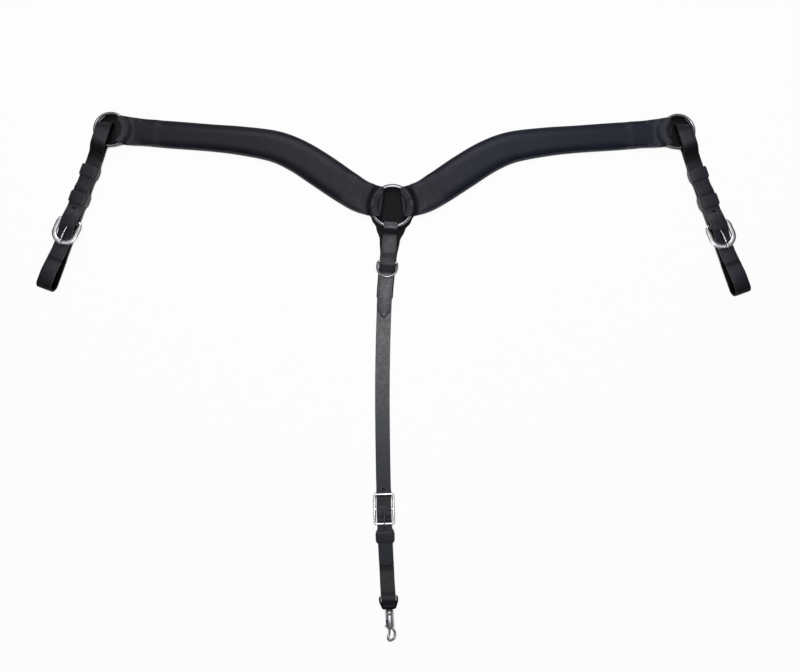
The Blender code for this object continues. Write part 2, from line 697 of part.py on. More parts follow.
def build_centre():
    """The strap from the centre ring down to the snap, with its safe, dee and buckle."""
    frame = empty("centre_strap_pivot", (0, 0, 0))
    line = Line(CENTRE_LINE)

    def at(distance, height=0.0):
        place, heading = line.at(distance)
        return (place.x, place.y, height), math.atan2(heading.x, -heading.y)

    def safe_half_width(distance, run, total):
        if distance < SAFE_HALF_WIDTHS[0][0]:
            return math.sqrt(max(SAFE_RADIUS ** 2 - distance ** 2, (0.12 * SAFE_RADIUS) ** 2))
        return value_at(SAFE_HALF_WIDTHS, distance)

    steps = [SAFE_RADIUS * math.sin(math.radians(angle)) for angle in range(-90, 16, 15)]
    steps += SAFE_STEPS
    strap("ring_backer", [Vector((along, LINING_LEATHER / 2)) for along in steps], line,
          safe_half_width, LINING_LEATHER, LINING_LOOK, frame)

    skin = STRAP_LEATHER / 2
    back = STRAP_BACK_MID
    front = back + LAYER_STEP
    over_ring = CENTRE_RING_HEIGHT + CENTRE_WIRE / 2 + RING_PLAY + skin
    ring_bend = (over_ring - back) / 2
    dee_height = back + skin + FIT + DEE_WIRE / 2
    over_dee = dee_height + DEE_WIRE / 2 + FIT + skin
    floor = skin
    past_ring = CENTRE_RING_RADIUS + CENTRE_WIRE / 2
    ramp = SAFE_HALF_WIDTHS[-1][0] + 2 * MM

    snap_low = KEEPER_LEATHER + FIT + SNAP_LEATHER / 2
    snap_high = snap_low + SNAP_LEATHER + FIT
    main_lap = snap_high + SNAP_LEATHER / 2 + FIT + skin
    bar = BUCKLE_WIRE / 2
    top_bar = STRAP_LEATHER + FIT + bar
    bottom_bar = main_lap + skin + FIT + bar
    bar_height = (top_bar + bottom_bar) / 2
    half_height = BUCKLE_HEIGHT / 2 - bar
    tilt = math.asin((bottom_bar - top_bar) / 2 / half_height)
    chape_bend = bar + FIT + SNAP_LEATHER / 2
    over_bar = bar_height + chape_bend + SNAP_LEATHER / 2 + FIT + skin

    path = route([
        (FRONT_TIP, floor + LAYER_STEP, 0),
        (FRONT_TIP - FRONT_POINT, floor + LAYER_STEP, 0),
        (ramp + RAMP_LENGTH, floor + LAYER_STEP, 20 * MM),
        (ramp, front, 20 * MM),
        (DEE_PLACE + 10 * MM, front, 5 * MM),
        (DEE_PLACE + 3.5 * MM, over_dee, 5 * MM),
        (DEE_PLACE - 3.5 * MM, over_dee, 5 * MM),
        (DEE_PLACE - 10 * MM, front, 5 * MM),
        (past_ring + 14 * MM, front, 8 * MM),
        (past_ring + 2 * MM, over_ring, 8 * MM),
        (CENTRE_FOLD + skin, over_ring, ring_bend),
        (CENTRE_FOLD + skin, back, ring_bend),
        (ramp, back, 20 * MM),
        (ramp + RAMP_LENGTH, floor, 20 * MM),
        (BUCKLE_PLACE - 22 * MM, floor, 8 * MM),
        (BUCKLE_PLACE - 4 * MM, over_bar, 5 * MM),
        (BUCKLE_PLACE + 4 * MM, over_bar, 6 * MM),
        (BUCKLE_PLACE + 20.5 * MM, main_lap, 8 * MM),
        (STRAP_END - 10 * MM, main_lap, 0),
        (STRAP_END - 6 * MM, main_lap, 0),
        (STRAP_END - 3 * MM, main_lap, 0),
        (STRAP_END - 1 * MM, main_lap, 0),
        (STRAP_END, main_lap, 0),
    ], step=30 * MM)
    main = strap("centre_strap", path, line, strap_width(FRONT_POINT, 10 * MM), STRAP_LEATHER,
                 STRAP_LOOK, frame)
    tongue_room = CENTRE_TONGUE_WIRE + 2 * SIDE_PLAY + 0.4 * MM
    place, turn = at(BUCKLE_PLACE + 8.5 * MM)
    boolean(main, slot_cutter("centre_tongue_hole", place, 15 * MM, tongue_room, bar_height,
                              over_bar + 3 * MM, frame, turn), "DIFFERENCE")
    for name, step, height in (("centre_hole_above", -1, floor), ("centre_hole_below", 1, main_lap)):
        place, turn = at(BUCKLE_PLACE + step * CENTRE_HOLE_PITCH)
        boolean(main, slot_cutter(name, place, HOLE_WIDTH, HOLE_WIDTH, height - skin - 0.2 * MM,
                                  height + skin + MM, frame, turn), "DIFFERENCE")

    place, turn = at(DEE_PLACE, dee_height)
    half = (DEE_WIDTH - DEE_WIRE) / 2
    rest = front + skin + FIT + DEE_WIRE / 2 + 0.8 * MM
    dee_tilt = math.asin((rest - dee_height) / DEE_DEPTH)
    points = horseshoe_points(half, DEE_DEPTH + 3 * MM, 3 * MM)
    points = [Vector((point.x, point.y * DEE_DEPTH / (DEE_DEPTH + 3 * MM), 0)) for point in points]
    dee = rod("strap_dee", points, (DEE_WIRE / 2, DEE_WIRE / 2), Vector((0, 0, 1)), RING_LOOK, frame, True)
    dee.location = place
    dee.rotation_euler = (-dee_tilt, 0, turn)

    place, turn = at(BUCKLE_PLACE, bar_height)
    wide = BUCKLE_WIDTH / 2 - bar
    bend = 3 * MM
    corners = [(-wide, -half_height, bend), (wide, -half_height, bend),
               (wide, half_height, bend), (-wide, half_height, bend)]
    points = [Vector((x, y, 0)) for x, y in route(corners, True)]
    buckle = rod("centre_buckle", points, (bar, bar), Vector((0, 0, 1)), CAST_LOOK, frame, True)
    buckle.location = place
    buckle.rotation_euler = (-tilt, 0, turn)
    crossbar = cylinder("centre_bar", Vector((-wide, 0, 0)), Vector((wide, 0, 0)), bar, CAST_LOOK,
                        buckle, 8)
    boolean(buckle, crossbar, "UNION")

    wire = CENTRE_TONGUE_WIRE / 2
    wrap = bar + FIT + wire
    tip = bottom_bar - bar_height + bar + FIT + wire
    reach = half_height * math.cos(tilt)
    points = tongue_points(bar, CENTRE_TONGUE_WIRE, [(4 * MM, wrap), (8 * MM, wrap), (reach, tip),
                                                     (reach + 3 * MM, tip + 0.6 * MM)])
    tongue = rod("centre_tongue", points, (wire, wire), Vector((1, 0, 0)), CAST_LOOK, frame, sides=6)
    tongue.location = place
    tongue.rotation_euler = (0, 0, turn)

    place, turn = at(CENTRE_KEEPER)
    loop = keeper("centre_keeper", main_lap + skin + FIT, KEEPER_LEATHER, KEEPER_LOOK, frame, place)
    loop.rotation_euler = (0, 0, turn)

    eye_bend = EYE_WIRE / 2 + FIT + SNAP_LEATHER / 2
    fold = EYE_PLACE + FOLD_LENGTH

    def snap_half_width(distance, run, total):
        taper = value_at([(EYE_PLACE + FOLD_NARROWS, STRAP_WIDTH), (fold, FOLD_END_WIDTH)], distance)
        return taper / 2

    seam = BUCKLE_PLACE + 32 * MM
    path = route([
        (seam - 0.7 * MM, snap_high, 0),
        (BUCKLE_PLACE + 18 * MM, snap_high, 8 * MM),
        (BUCKLE_PLACE + 2 * MM, bar_height + chape_bend, 4 * MM),
        (BUCKLE_PLACE - chape_bend, bar_height + chape_bend, chape_bend),
        (BUCKLE_PLACE - chape_bend, bar_height - chape_bend, chape_bend),
        (BUCKLE_PLACE + 7 * MM, bar_height - chape_bend, 10 * MM),
        (BUCKLE_PLACE + SETTLE_BELOW_BUCKLE, snap_low, LYING_BEND),
        (EYE_PLACE - BACK_PARTS, snap_low, PARTING_BEND),
        (EYE_PLACE - BACK_LIES, EYE_HEIGHT - eye_bend, LYING_BEND),
        (EYE_PLACE + FOLD_DIPS, EYE_HEIGHT - eye_bend, LYING_BEND),
        (fold, FOLD_HEIGHT - FOLD_BEND, FOLD_BEND),
        (fold, FOLD_HEIGHT + FOLD_BEND, FOLD_BEND),
        (EYE_PLACE + FOLD_DIPS, EYE_HEIGHT + eye_bend, LYING_BEND),
        (EYE_PLACE - FRONT_LIES, EYE_HEIGHT + eye_bend, LYING_BEND),
        (EYE_PLACE - FRONT_PARTS, snap_high, PARTING_BEND),
        (seam + 0.7 * MM, snap_high, 0),
    ], step=SNAP_STEP)
    lower = strap("snap_strap", path, line, snap_half_width, SNAP_LEATHER, STRAP_LOOK, frame)
    place, turn = at(BUCKLE_PLACE + 1.5 * MM)
    boolean(lower, slot_cutter("snap_strap_slot", place, CHAPE_SLOT, tongue_room, snap_low,
                               over_bar - skin, frame, turn), "DIFFERENCE")

    place, turn = at(EYE_PLACE, EYE_HEIGHT)
    build_snap(empty("snap_eye_pivot", place, frame, turn))


def build_snap(pivot):
    """The swivel snap: eye and stem, barrel with its hook, bolt and spring."""
    wire = EYE_WIRE / 2
    half = EYE_WIDTH / 2 - wire
    corners = [(-half, 0, 2.5 * MM), (-half, -EYE_SHOULDER, 6 * MM), (-EYE_FOOT, -EYE_DEPTH, 3 * MM),
               (EYE_FOOT, -EYE_DEPTH, 3 * MM), (half, -EYE_SHOULDER, 6 * MM), (half, 0, 2.5 * MM)]
    points = [Vector((x, y, 0)) for x, y in route(corners, True)]
    eye = rod("snap_eye", points, (wire, wire), Vector((0, 0, 1)), CAST_LOOK, pivot, True)
    stem = cylinder("eye_stem", Vector((0, -EYE_DEPTH, 0)), Vector((0, -(HEAD_TOP + 0.5 * MM), 0)),
                    STEM_RADIUS, CAST_LOOK, pivot)
    head = cylinder("eye_head", Vector((0, -HEAD_TOP, 0)), Vector((0, -HEAD_BOTTOM, 0)), HEAD_RADIUS,
                    CAST_LOOK, pivot)
    boolean(eye, stem, "UNION")
    boolean(eye, head, "UNION")

    swivel = empty("snap_swivel", (0, 0, 0), pivot)
    swivel.rotation_euler = (0, SNAP_ROLL, 0)
    body = cylinder("snap_body", Vector((0, -BARREL_TOP, 0)), Vector((0, -BARREL_BOTTOM, 0)),
                    BARREL_RADIUS, CAST_LOOK, swivel, 20)
    hook_radius = HOOK_WIRE / 2
    low = -HOOK_BOTTOM
    hook_path = route([
        (3.8 * MM, -(BARREL_BOTTOM - 4 * MM), 0),
        (4.0 * MM, -(BARREL_BOTTOM + 1 * MM), 5 * MM),
        (9.0 * MM, -(BARREL_BOTTOM + 8 * MM), 5 * MM),
        (8.0 * MM, low, 6.0 * MM),
        (-6.4 * MM, low, 5.0 * MM),
        (-6.4 * MM, -(BOLT_END + 5 * MM), 3 * MM),
        (BOLT_OFFSET - 1.0 * MM, -(BOLT_END + 1.9 * MM), 0),
    ], step=6 * MM)
    hook = rod("snap_hook", [Vector((x, y, 0)) for x, y in hook_path], (hook_radius, hook_radius),
               Vector((0, 0, 1)), CAST_LOOK, swivel)
    boolean(body, hook, "UNION")
    bore = BOLT_RADIUS + FIT
    neck = cylinder("neck_bore", Vector((0, -(BARREL_TOP - 1 * MM), 0)), Vector((0, -HEAD_TOP, 0)),
                    STEM_RADIUS + SIDE_PLAY, CAST_LOOK, swivel)
    socket = cylinder("head_socket", Vector((0, -(HEAD_TOP - SIDE_PLAY), 0)),
                      Vector((0, -(HEAD_BOTTOM + SIDE_PLAY), 0)), HEAD_RADIUS + SIDE_PLAY,
                      CAST_LOOK, swivel)
    bolt_bore = cylinder("bolt_bore", Vector((BOLT_OFFSET, -BORE_TOP, 0)),
                         Vector((BOLT_OFFSET, -(BARREL_BOTTOM + 1 * MM), 0)), bore, CAST_LOOK, swivel)
    slot_low = KNOB_PLACE - BOLT_TRAVEL
    slot_reach = KNOB_RADIUS + SIDE_PLAY
    bm = bmesh.new()
    bmesh.ops.create_cube(bm, size=1)
    for vert in bm.verts:
        vert.co.x = BOLT_OFFSET + (0 if vert.co.x > 0 else -BARREL_RADIUS)
        vert.co.y = -(KNOB_PLACE + slot_reach) if vert.co.y < 0 else -(slot_low - slot_reach)
        vert.co.z = math.copysign(slot_reach, vert.co.z)
    knob_slot = to_object("knob_slot", bm, CAST_LOOK, swivel)
    for cut in (neck, socket, bolt_bore, knob_slot):
        boolean(body, cut, "DIFFERENCE")

    bolt = cylinder("snap_bolt", Vector((BOLT_OFFSET, -BOLT_TOP, 0)), Vector((BOLT_OFFSET, -BOLT_END, 0)),
                    BOLT_RADIUS, CAST_LOOK, swivel)
    knob = cylinder("bolt_knob", Vector((BOLT_OFFSET - 1 * MM, -KNOB_PLACE, 0)),
                    Vector((-KNOB_REACH, -KNOB_PLACE, 0)), KNOB_RADIUS, CAST_LOOK, swivel)
    boolean(bolt, knob, "UNION")

    coil = BOLT_RADIUS - SPRING_WIRE / 2 - 0.1 * MM
    low = BORE_TOP + FIT + SPRING_WIRE / 2
    high = BOLT_TOP - FIT - SPRING_WIRE / 2
    steps = SPRING_TURNS * 9
    helix = []
    for k in range(steps + 1):
        angle = math.tau * k / 9
        along = low + (high - low) * k / steps
        helix.append(Vector((BOLT_OFFSET + coil * math.cos(angle), -along, coil * math.sin(angle))))
    bm = bmesh.new()
    rings = []
    for k, point in enumerate(helix):
        angle = math.tau * k / 9
        spoke = Vector((math.cos(angle), 0, math.sin(angle)))
        ring_verts = []
        for corner in range(4):
            phase = math.tau * (corner + 0.5) / 4
            offset = spoke * math.cos(phase) + Vector((0, 1, 0)) * math.sin(phase)
            ring_verts.append(bm.verts.new(point + offset * SPRING_WIRE / 2))
        rings.append(ring_verts)
    for loop, following in zip(rings, rings[1:]):
        for corner in range(4):
            n = (corner + 1) % 4
            bm.faces.new((loop[corner], loop[n], following[n], following[corner]))
    bm.faces.new(rings[0])
    bm.faces.new(rings[-1])
    to_object("snap_spring", bm, SPRING_LOOK, swivel)


ring("centre_ring", CENTRE_RING_RADIUS, CENTRE_WIRE, RING_LOOK, None, (0, 0, CENTRE_RING_HEIGHT))
for side, word in ((-1, "left"), (1, "right")):
    ring_hinge = build_breast(side, word)
    build_tug(side, word, ring_hinge)
build_centre()
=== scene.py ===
# %% [markdown]
# # A padded leather breast collar
# A breast collar keeps a horse's saddle from sliding back. Two shaped and padded leather
# panels meet on a centre ring, a tug strap runs from each outer ring to the saddle, and a
# middle strap runs between the front legs to the cinch. The engineering model says where
# every piece is and how it moves, so the scene starts from it as a fixed frame.

from bisect import bisect_left
from itertools import accumulate
import math

import bmesh
import bpy
from mathutils import Matrix, Vector


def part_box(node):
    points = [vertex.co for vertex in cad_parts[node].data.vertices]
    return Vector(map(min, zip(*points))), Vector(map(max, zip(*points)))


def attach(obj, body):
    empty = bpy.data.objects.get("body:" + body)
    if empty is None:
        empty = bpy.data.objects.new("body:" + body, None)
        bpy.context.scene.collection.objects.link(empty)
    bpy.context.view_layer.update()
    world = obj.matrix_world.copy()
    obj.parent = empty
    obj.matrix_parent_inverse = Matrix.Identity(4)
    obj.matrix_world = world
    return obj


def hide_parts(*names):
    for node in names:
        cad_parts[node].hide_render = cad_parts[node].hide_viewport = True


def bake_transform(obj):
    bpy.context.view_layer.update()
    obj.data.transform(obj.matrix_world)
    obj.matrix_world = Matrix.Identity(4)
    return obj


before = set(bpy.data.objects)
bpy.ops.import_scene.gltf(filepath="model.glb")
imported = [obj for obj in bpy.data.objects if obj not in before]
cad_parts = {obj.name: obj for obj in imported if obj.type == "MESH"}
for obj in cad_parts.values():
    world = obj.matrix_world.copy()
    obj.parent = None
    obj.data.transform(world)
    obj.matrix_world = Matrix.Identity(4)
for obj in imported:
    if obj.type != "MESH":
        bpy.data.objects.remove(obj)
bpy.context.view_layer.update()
MM = 0.001
SIDES = ((-1, "left"), (1, "right"))

# %% [markdown]
# ## Camera
# The photograph looks straight down on the collar from about 1.3 m. The straps are 1 in
# wide and 14.6 pixels across, so a pixel is 1.74 mm there. Its right half shows a trace
# larger than its left, which is a lens turned less than a degree from the upright. A fit
# of the rings, buckles and snap to the photograph gave the place and the turn.

# %% Set the camera
PHOTO_WIDTH = 800
PIXEL = 1.74 * MM
SENSOR = 36.0
CAMERA_HEIGHT = 1.300
CAMERA_PLACE = (32.0 * MM, -219.2 * MM, CAMERA_HEIGHT + 7 * MM)
CAMERA_TURN = (-0.187, 0.746, 0.414)
LENS_FIT = 1.0034

camera_data = bpy.data.cameras.new("photo_camera")
camera_data.sensor_width = SENSOR
camera_data.lens = LENS_FIT * SENSOR * CAMERA_HEIGHT / (PHOTO_WIDTH * PIXEL)
camera = bpy.data.objects.new("photo_camera", camera_data)
camera.location = CAMERA_PLACE
camera.rotation_euler = [math.radians(turn) for turn in CAMERA_TURN]
bpy.context.scene.collection.objects.link(camera)
bpy.context.scene.camera = camera
bpy.context.scene.view_settings.view_transform = "Standard"
print("lens:", round(camera_data.lens, 2), "mm")

# %% [markdown]
# ## Colours and nodes
# Colours are written as the hex values that a screen shows. Blender's shaders count in
# linear light, so one function turns them. Another adds a node, sets it and links it, and
# a few short ones name the nodes that come up often. That keeps each recipe short.

# %% Helpers for materials
def linear(code):
    """A hex colour such as #2c2a30 in linear light, with full alpha."""
    values = [int(code[i:i + 2], 16) / 255 for i in (1, 3, 5)]
    return (*[v / 12.92 if v <= 0.04045 else ((v + 0.055) / 1.055) ** 2.4 for v in values], 1)


def feed(tree, node, inputs):
    """Sets a node's inputs from hex colours, plain values or other nodes' outputs."""
    for socket, value in inputs.items():
        if isinstance(value, bpy.types.NodeSocket):
            tree.links.new(value, node.inputs[socket])
        else:
            node.inputs[socket].default_value = linear(value) if isinstance(value, str) else value


def add_node(tree, kind, output, inputs=None, **settings):
    """Adds a shader node and hands back one of its outputs."""
    node = tree.nodes.new("ShaderNode" + kind)
    for name, value in settings.items():
        setattr(node, name, value)
    feed(tree, node, inputs or {})
    return node.outputs[output]


def new_material(name):
    look = bpy.data.materials.new(name)
    look.use_nodes = True
    return look, look.node_tree, look.node_tree.nodes["Principled BSDF"]


def mixed(tree, factor, first, second):
    """Mixes two colours by a factor from 0 to 1."""
    return add_node(tree, "Mix", "Result", {"Factor": factor, "A": first, "B": second},
                    data_type="RGBA")


def between(tree, value, low, high, new_low, new_high):
    """Maps a range of a value onto another range, and stops at its ends."""
    return add_node(tree, "MapRange", "Result", {
        "Value": value, "From Min": low, "From Max": high, "To Min": new_low, "To Max": new_high})


def maths(tree, operation, first, second):
    return add_node(tree, "Math", 0, {0: first, 1: second}, operation=operation)


def noise(tree, place, size, **inputs):
    """Noise whose patches have a size in metres."""
    return add_node(tree, "TexNoise", "Fac", {"Vector": place, "Scale": 1 / size, **inputs})


def attribute(tree, name):
    return add_node(tree, "Attribute", "Fac", attribute_name=name)


def bump(tree, height, strength, distance, **normal):
    return add_node(tree, "Bump", "Normal", {
        "Height": height, "Strength": strength, "Distance": distance, **normal})


print("a glazed black leather in linear light:", [round(v, 4) for v in linear("#1b191d")])

# %% [markdown]
# ## Leather
# Bridle leather is vegetable-tanned cowhide, dyed through and stuffed with tallow and wax,
# then glazed under pressure. To the eye it is nearly black with a soft sheen, a fine
# pebbled grain and slow changes of dye over the hide. Each strip carries an attribute that
# makes it paler: real wear at rims and folds, and a painted highlight on lips, folds and
# bulges. A second attribute paints shade into creases, valleys and down-facing slopes,
# where the leather turns black and dull. Grain pores are about 0.5 mm apart. At 1.74 mm a
# pixel that would vanish, so the grain is drawn at 1.3 mm. The black is tinted to purple
# on the left and to blue on the right, a painted tint of cooler light on the right. The
# wax keeps the shine low.

# %% Make the leathers
GRAIN = 1.3 * MM
HIDE_PATCH = 45 * MM
WRINKLE = 7 * MM
WRINKLE_DEPTH = 0.45 * MM
LIGHT_TINT_SPAN = 260 * MM
COAT_ROUGHNESS = 0.3
PAINTED_SHADE_DULLNESS = 0.45


def leather(name, dark, pale, cool_light_tint, wear_and_sheen_tone, roughness, shine, coat, grain_depth):
    """Hide tones, a painted cool light tint, a wear and painted sheen tone, grain depth in mm."""
    look, tree, shader = new_material(name)
    place = add_node(tree, "TexCoord", "Object")
    sideways = add_node(tree, "SeparateXYZ", "X", {"Vector": place})
    patch = noise(tree, place, HIDE_PATCH, Detail=3.0, Roughness=0.6)
    wrinkle = noise(tree, place, WRINKLE, Detail=4.0, Distortion=0.6)
    grain = add_node(tree, "TexVoronoi", "Distance", {
        "Vector": place, "Scale": 1 / GRAIN, "Smoothness": 0.4}, feature="SMOOTH_F1")
    dye = mixed(tree, between(tree, patch, 0.32, 0.68, 0, 1), dark, pale)
    # Painted light tint: the colour slides to the cool tone towards +X, for cooler light on the
    # right.
    dye = mixed(tree, between(tree, sideways, -LIGHT_TINT_SPAN, LIGHT_TINT_SPAN, 0, 1), dye, cool_light_tint)
    # Paler where the leather is worn, and where a highlight is painted on lips, folds and bulges.
    wear_and_sheen_mask = maths(tree, "MULTIPLY", attribute(tree, "wear_and_sheen"),
                 between(tree, wrinkle, 0.3, 0.7, 0.55, 1.0))
    # Painted shade: where this attribute is high, the colour goes to near black and the leather
    # duller.
    painted_shade = attribute(tree, "painted_shade")
    polish = between(tree, wrinkle, 0.25, 0.75, roughness - 0.06, roughness + 0.08)
    fine = bump(tree, grain, 0.5, grain_depth * MM)
    feed(tree, shader, {
        "Base Color": mixed(tree, painted_shade, mixed(tree, wear_and_sheen_mask, dye, wear_and_sheen_tone), "#050406"),
        "Roughness": maths(tree, "ADD", polish, maths(tree, "MULTIPLY", painted_shade, PAINTED_SHADE_DULLNESS)),
        "Specular IOR Level": shine, "Coat Weight": coat, "Coat Roughness": COAT_ROUGHNESS,
        "Normal": bump(tree, wrinkle, 0.45, WRINKLE_DEPTH, Normal=fine)})
    return look


(PANEL_LEATHER, STRAP_LEATHER, TUG_LEATHER, CHAPE_LEATHER, KEEPER_LEATHER, LINING_LEATHER,
 FLESH_SIDE, EDGE_DRESSING) = [leather(*recipe) for recipe in (
    ("glazed_bridle_leather", "#17141c", "#1f1b27", "#1b1f2e", "#454249", 0.42, 0.20, 0.04, 0.16),
    ("waxed_strap_leather", "#14171e", "#1b1f2a", "#191e2b", "#3c3f4a", 0.33, 0.42, 0.12, 0.12),
    ("oiled_tug_leather", "#15151c", "#1d1d25", "#1a1c27", "#4e4d56", 0.38, 0.20, 0.04, 0.14),
    ("oiled_chape_leather", "#19171b", "#232025", "#1f1d22", "#484952", 0.44, 0.20, 0.04, 0.14),
    ("thin_keeper_leather", "#1a1a20", "#24232b", "#22242e", "#3b3940", 0.40, 0.30, 0.06, 0.12),
    ("plain_lining_leather", "#0c0c0d", "#141415", "#121316", "#1c1c1e", 0.62, 0.15, 0.0, 0.20),
    ("waxed_flesh_side", "#100f10", "#1a1819", "#18191b", "#222122", 0.75, 0.12, 0.0, 0.30),
    ("burnished_edge_dressing", "#060507", "#0b0a0c", "#090a0c", "#121114", 0.34, 0.20, 0.0, 0.05))]
print("leathers:", [look.name for look in bpy.data.materials if "leather" in look.name])

# %% [markdown]
# ## Metal, thread and felt
# The hardware is steel wire and zinc castings under bright nickel plate. Plate is smooth,
# so what the eye gets is reflection: white where it faces up and dark at its sides, with
# hairline scratches from use and a slightly duller bloom. Castings are a little rougher
# than drawn wire. The wire's plate has darker tones than the castings', a painted shade on
# the rings, and an attribute paints shade black into the plate of the snap's eye and the
# middle tongue. The thread is waxed and black, and the padding is felt.

# %% Make the metals
SCRATCH = 0.9 * MM
BLOOM = 14 * MM


def nickel(name, bright, dull, roughness, scratch_depth):
    look, tree, shader = new_material(name)
    place = add_node(tree, "TexCoord", "Object")
    bloom = noise(tree, place, BLOOM, Detail=4.0)
    scratch = noise(tree, place, SCRATCH, Detail=5.0, Distortion=1.5)
    plate = mixed(tree, between(tree, bloom, 0.35, 0.7, 0, 1), bright, dull)
    # Painted shade: an attribute turns the plate near black where the metal lies in shadow.
    feed(tree, shader, {
        "Base Color": mixed(tree, attribute(tree, "plate_shade"), plate, "#171618"),
        "Roughness": between(tree, bloom, 0.3, 0.7, roughness, roughness + 0.08),
        "Metallic": 1, "Normal": bump(tree, scratch, 0.25, scratch_depth * MM)})
    return look


# The wire's tones are darker than the castings': painted shade on the rings and the dee.
SHADED_PLATED_WIRE, PLATED_CASTING, TUMBLED_CASTING, SPRING_STEEL = [nickel(*recipe) for recipe in (
    ("nickel_plated_wire", "#989a9e", "#787a7f", 0.14, 0.03),
    ("nickel_plated_casting", "#d4d6d9", "#a8aaae", 0.16, 0.06),
    ("tumbled_nickel_casting", "#cfd1d4", "#a5a7ab", 0.36, 0.08),
    ("drawn_spring_steel", "#b4b4b5", "#969697", 0.30, 0.03))]
print("metals:", SHADED_PLATED_WIRE.name, PLATED_CASTING.name, TUMBLED_CASTING.name, SPRING_STEEL.name)

# %% Make the thread and the felt
THREAD_TWIST = 0.45 * MM
FELT_FIBRE = 0.6 * MM


def fibrous(name, texture, inputs, settings, dark, pale, strength, depth, more):
    """A yarn or felt whose colour and relief come from one texture."""
    look, tree, shader = new_material(name)
    place = add_node(tree, "TexCoord", "Object")
    fibre = add_node(tree, texture, "Fac", {"Vector": place, **inputs}, **settings)
    feed(tree, shader, {"Base Color": mixed(tree, fibre, dark, pale),
                        "Normal": bump(tree, fibre, strength, depth), **more})
    return look


THREAD = fibrous(
    "waxed_linen_thread", "TexWave", {"Scale": 1 / THREAD_TWIST, "Distortion": 1.0},
    {"bands_direction": "DIAGONAL"}, "#0d0c0e", "#2a282c", 0.5, 0.1 * MM, {"Roughness": 0.45})
FELT = fibrous(
    "pressed_wool_felt", "TexNoise", {"Scale": 1 / FELT_FIBRE, "Detail": 6.0, "Distortion": 2.0},
    {}, "#2b2a29", "#4a4846", 0.8, 0.4 * MM, {"Roughness": 0.95, "Sheen Weight": 0.3})
print("thread and felt:", THREAD.name, FELT.name)

# %% [markdown]
# ## Lines and folds
# A saddler cuts a strap flat, then folds it round a ring or bar and sews or buckles it
# down. The scene does the same. A line on the floor says where a strap runs, a fold path
# says how high it is and where it turns back, and a flat grid of the strap's real size is
# laid along both. Bending a grid by hand in edit mode would need the bend tool, which
# needs a window, so the grid's rows are placed by a function.

# %% Lines on the floor and fold paths
ARC_STEP = math.radians(15)
CURVE_STEPS = 12


def running(points):
    """The distance along a path at each of its points."""
    steps = [(second - first).xy.length for first, second in zip(points, points[1:])]
    return list(accumulate(steps, initial=0.0))


def stretch_at(runs, distance):
    """Which stretch of a path a distance falls in."""
    return min(bisect_left(runs, distance, 1), len(runs) - 1) - 1


class Line:
    """A smooth line on the floor through a few points, measured along its length."""

    def __init__(self, points):
        spots = [Vector(point) for point in points]
        padded = [2 * spots[0] - spots[1], *spots, 2 * spots[-1] - spots[-2]]
        self.points = [spots[0]]
        for a, b, c, d in zip(padded, padded[1:], padded[2:], padded[3:]):
            for k in range(1, CURVE_STEPS + 1):
                t = k / CURVE_STEPS
                self.points.append(0.5 * (2 * b + (c - a) * t + (2 * a - 5 * b + 4 * c - d) * t ** 2
                                          + (3 * b - a - 3 * c + d) * t ** 3))
        self.lengths = running(self.points)

    def at(self, distance):
        """The place and the heading at a distance, straight on past both ends."""
        i = stretch_at(self.lengths, distance)
        run = self.points[i + 1] - self.points[i]
        share = (distance - self.lengths[i]) / run.xy.length
        heading = run.xy.normalized()
        if 0 < i < len(self.points) - 2 and 0 <= share <= 1:
            before = (self.points[i] - self.points[i - 1]).xy.normalized()
            after = (self.points[i + 2] - self.points[i + 1]).xy.normalized()
            start, end = (before + heading).normalized(), (heading + after).normalized()
            heading = start.lerp(end, share).normalized()
        return (self.points[i] + run * share).xy, heading


def smooth_step(t):
    t = min(max(t, 0.0), 1.0)
    return t * t * (3 - 2 * t)


def bell(x, width):
    """1 at 0, falling smoothly to both sides."""
    return math.exp(-(x / width) ** 2)


def value_at(table, distance):
    """A smooth value between the pairs of a table."""
    if distance <= table[0][0]:
        return table[0][1]
    for (start, low), (end, high) in zip(table, table[1:]):
        if distance <= end:
            return low + (high - low) * smooth_step((distance - start) / (end - start))
    return table[-1][1]


def mm_table(*pairs):
    """A table from pairs of (distance in mm, value)."""
    return [(distance * MM, value) for distance, value in pairs]


def fold_path(corners, step=4 * MM, closed=False):
    """Straight runs joined by arcs, through corners of (distance, height, bend radius)."""
    points = []
    count = len(corners)
    for i, (along, height, radius) in enumerate(corners):
        here = Vector((along, height))
        if radius == 0 or (not closed and i in (0, count - 1)):
            points.append(here)
            continue
        inward = (here - Vector(corners[i - 1][:2])).normalized()
        outward = (Vector(corners[(i + 1) % count][:2]) - here).normalized()
        turn = math.atan2(inward.x * outward.y - inward.y * outward.x, inward.dot(outward))
        start = here - inward * radius * math.tan(abs(turn) / 2)
        centre = start + Vector((-inward.y, inward.x)) * math.copysign(radius, turn)
        steps = max(2, math.ceil(abs(turn) / ARC_STEP))
        for k in range(steps + 1):
            spot = centre + Matrix.Rotation(turn * k / steps, 2) @ (start - centre)
            if not points or (spot - points[-1]).length > 0.02 * MM:
                points.append(spot)
    if closed:
        points.append(points[0])
    filled = [points[0]]
    for first, second in zip(points, points[1:]):
        parts = max(1, math.ceil((second - first).length / step))
        filled += [first.lerp(second, k / parts) for k in range(1, parts + 1)]
    return filled


loop = fold_path([(0, 0, 0), (0.02, 0, 0.005), (0.02, 0.01, 0.005), (0, 0.01, 0)])
print("a fold round a 6 mm wire takes", len(loop), "rows")

# %% [markdown]
# ## Finishing a piece
# Every new piece ends the same way: it rides on a body of the frame and stands for its CAD
# node. Nothing else may be selected while an operator works, because the frame's own solids
# are selected after loading.

# %% Helpers for pieces
SHARP = math.radians(38)
CUT_EDGE = math.radians(50)


def deselect():
    if bpy.context.object and bpy.context.object.mode != "OBJECT":
        bpy.ops.object.mode_set(mode="OBJECT")
    bpy.ops.object.select_all(action="DESELECT")


def activate(piece):
    deselect()
    piece.select_set(True)
    bpy.context.view_layer.objects.active = piece


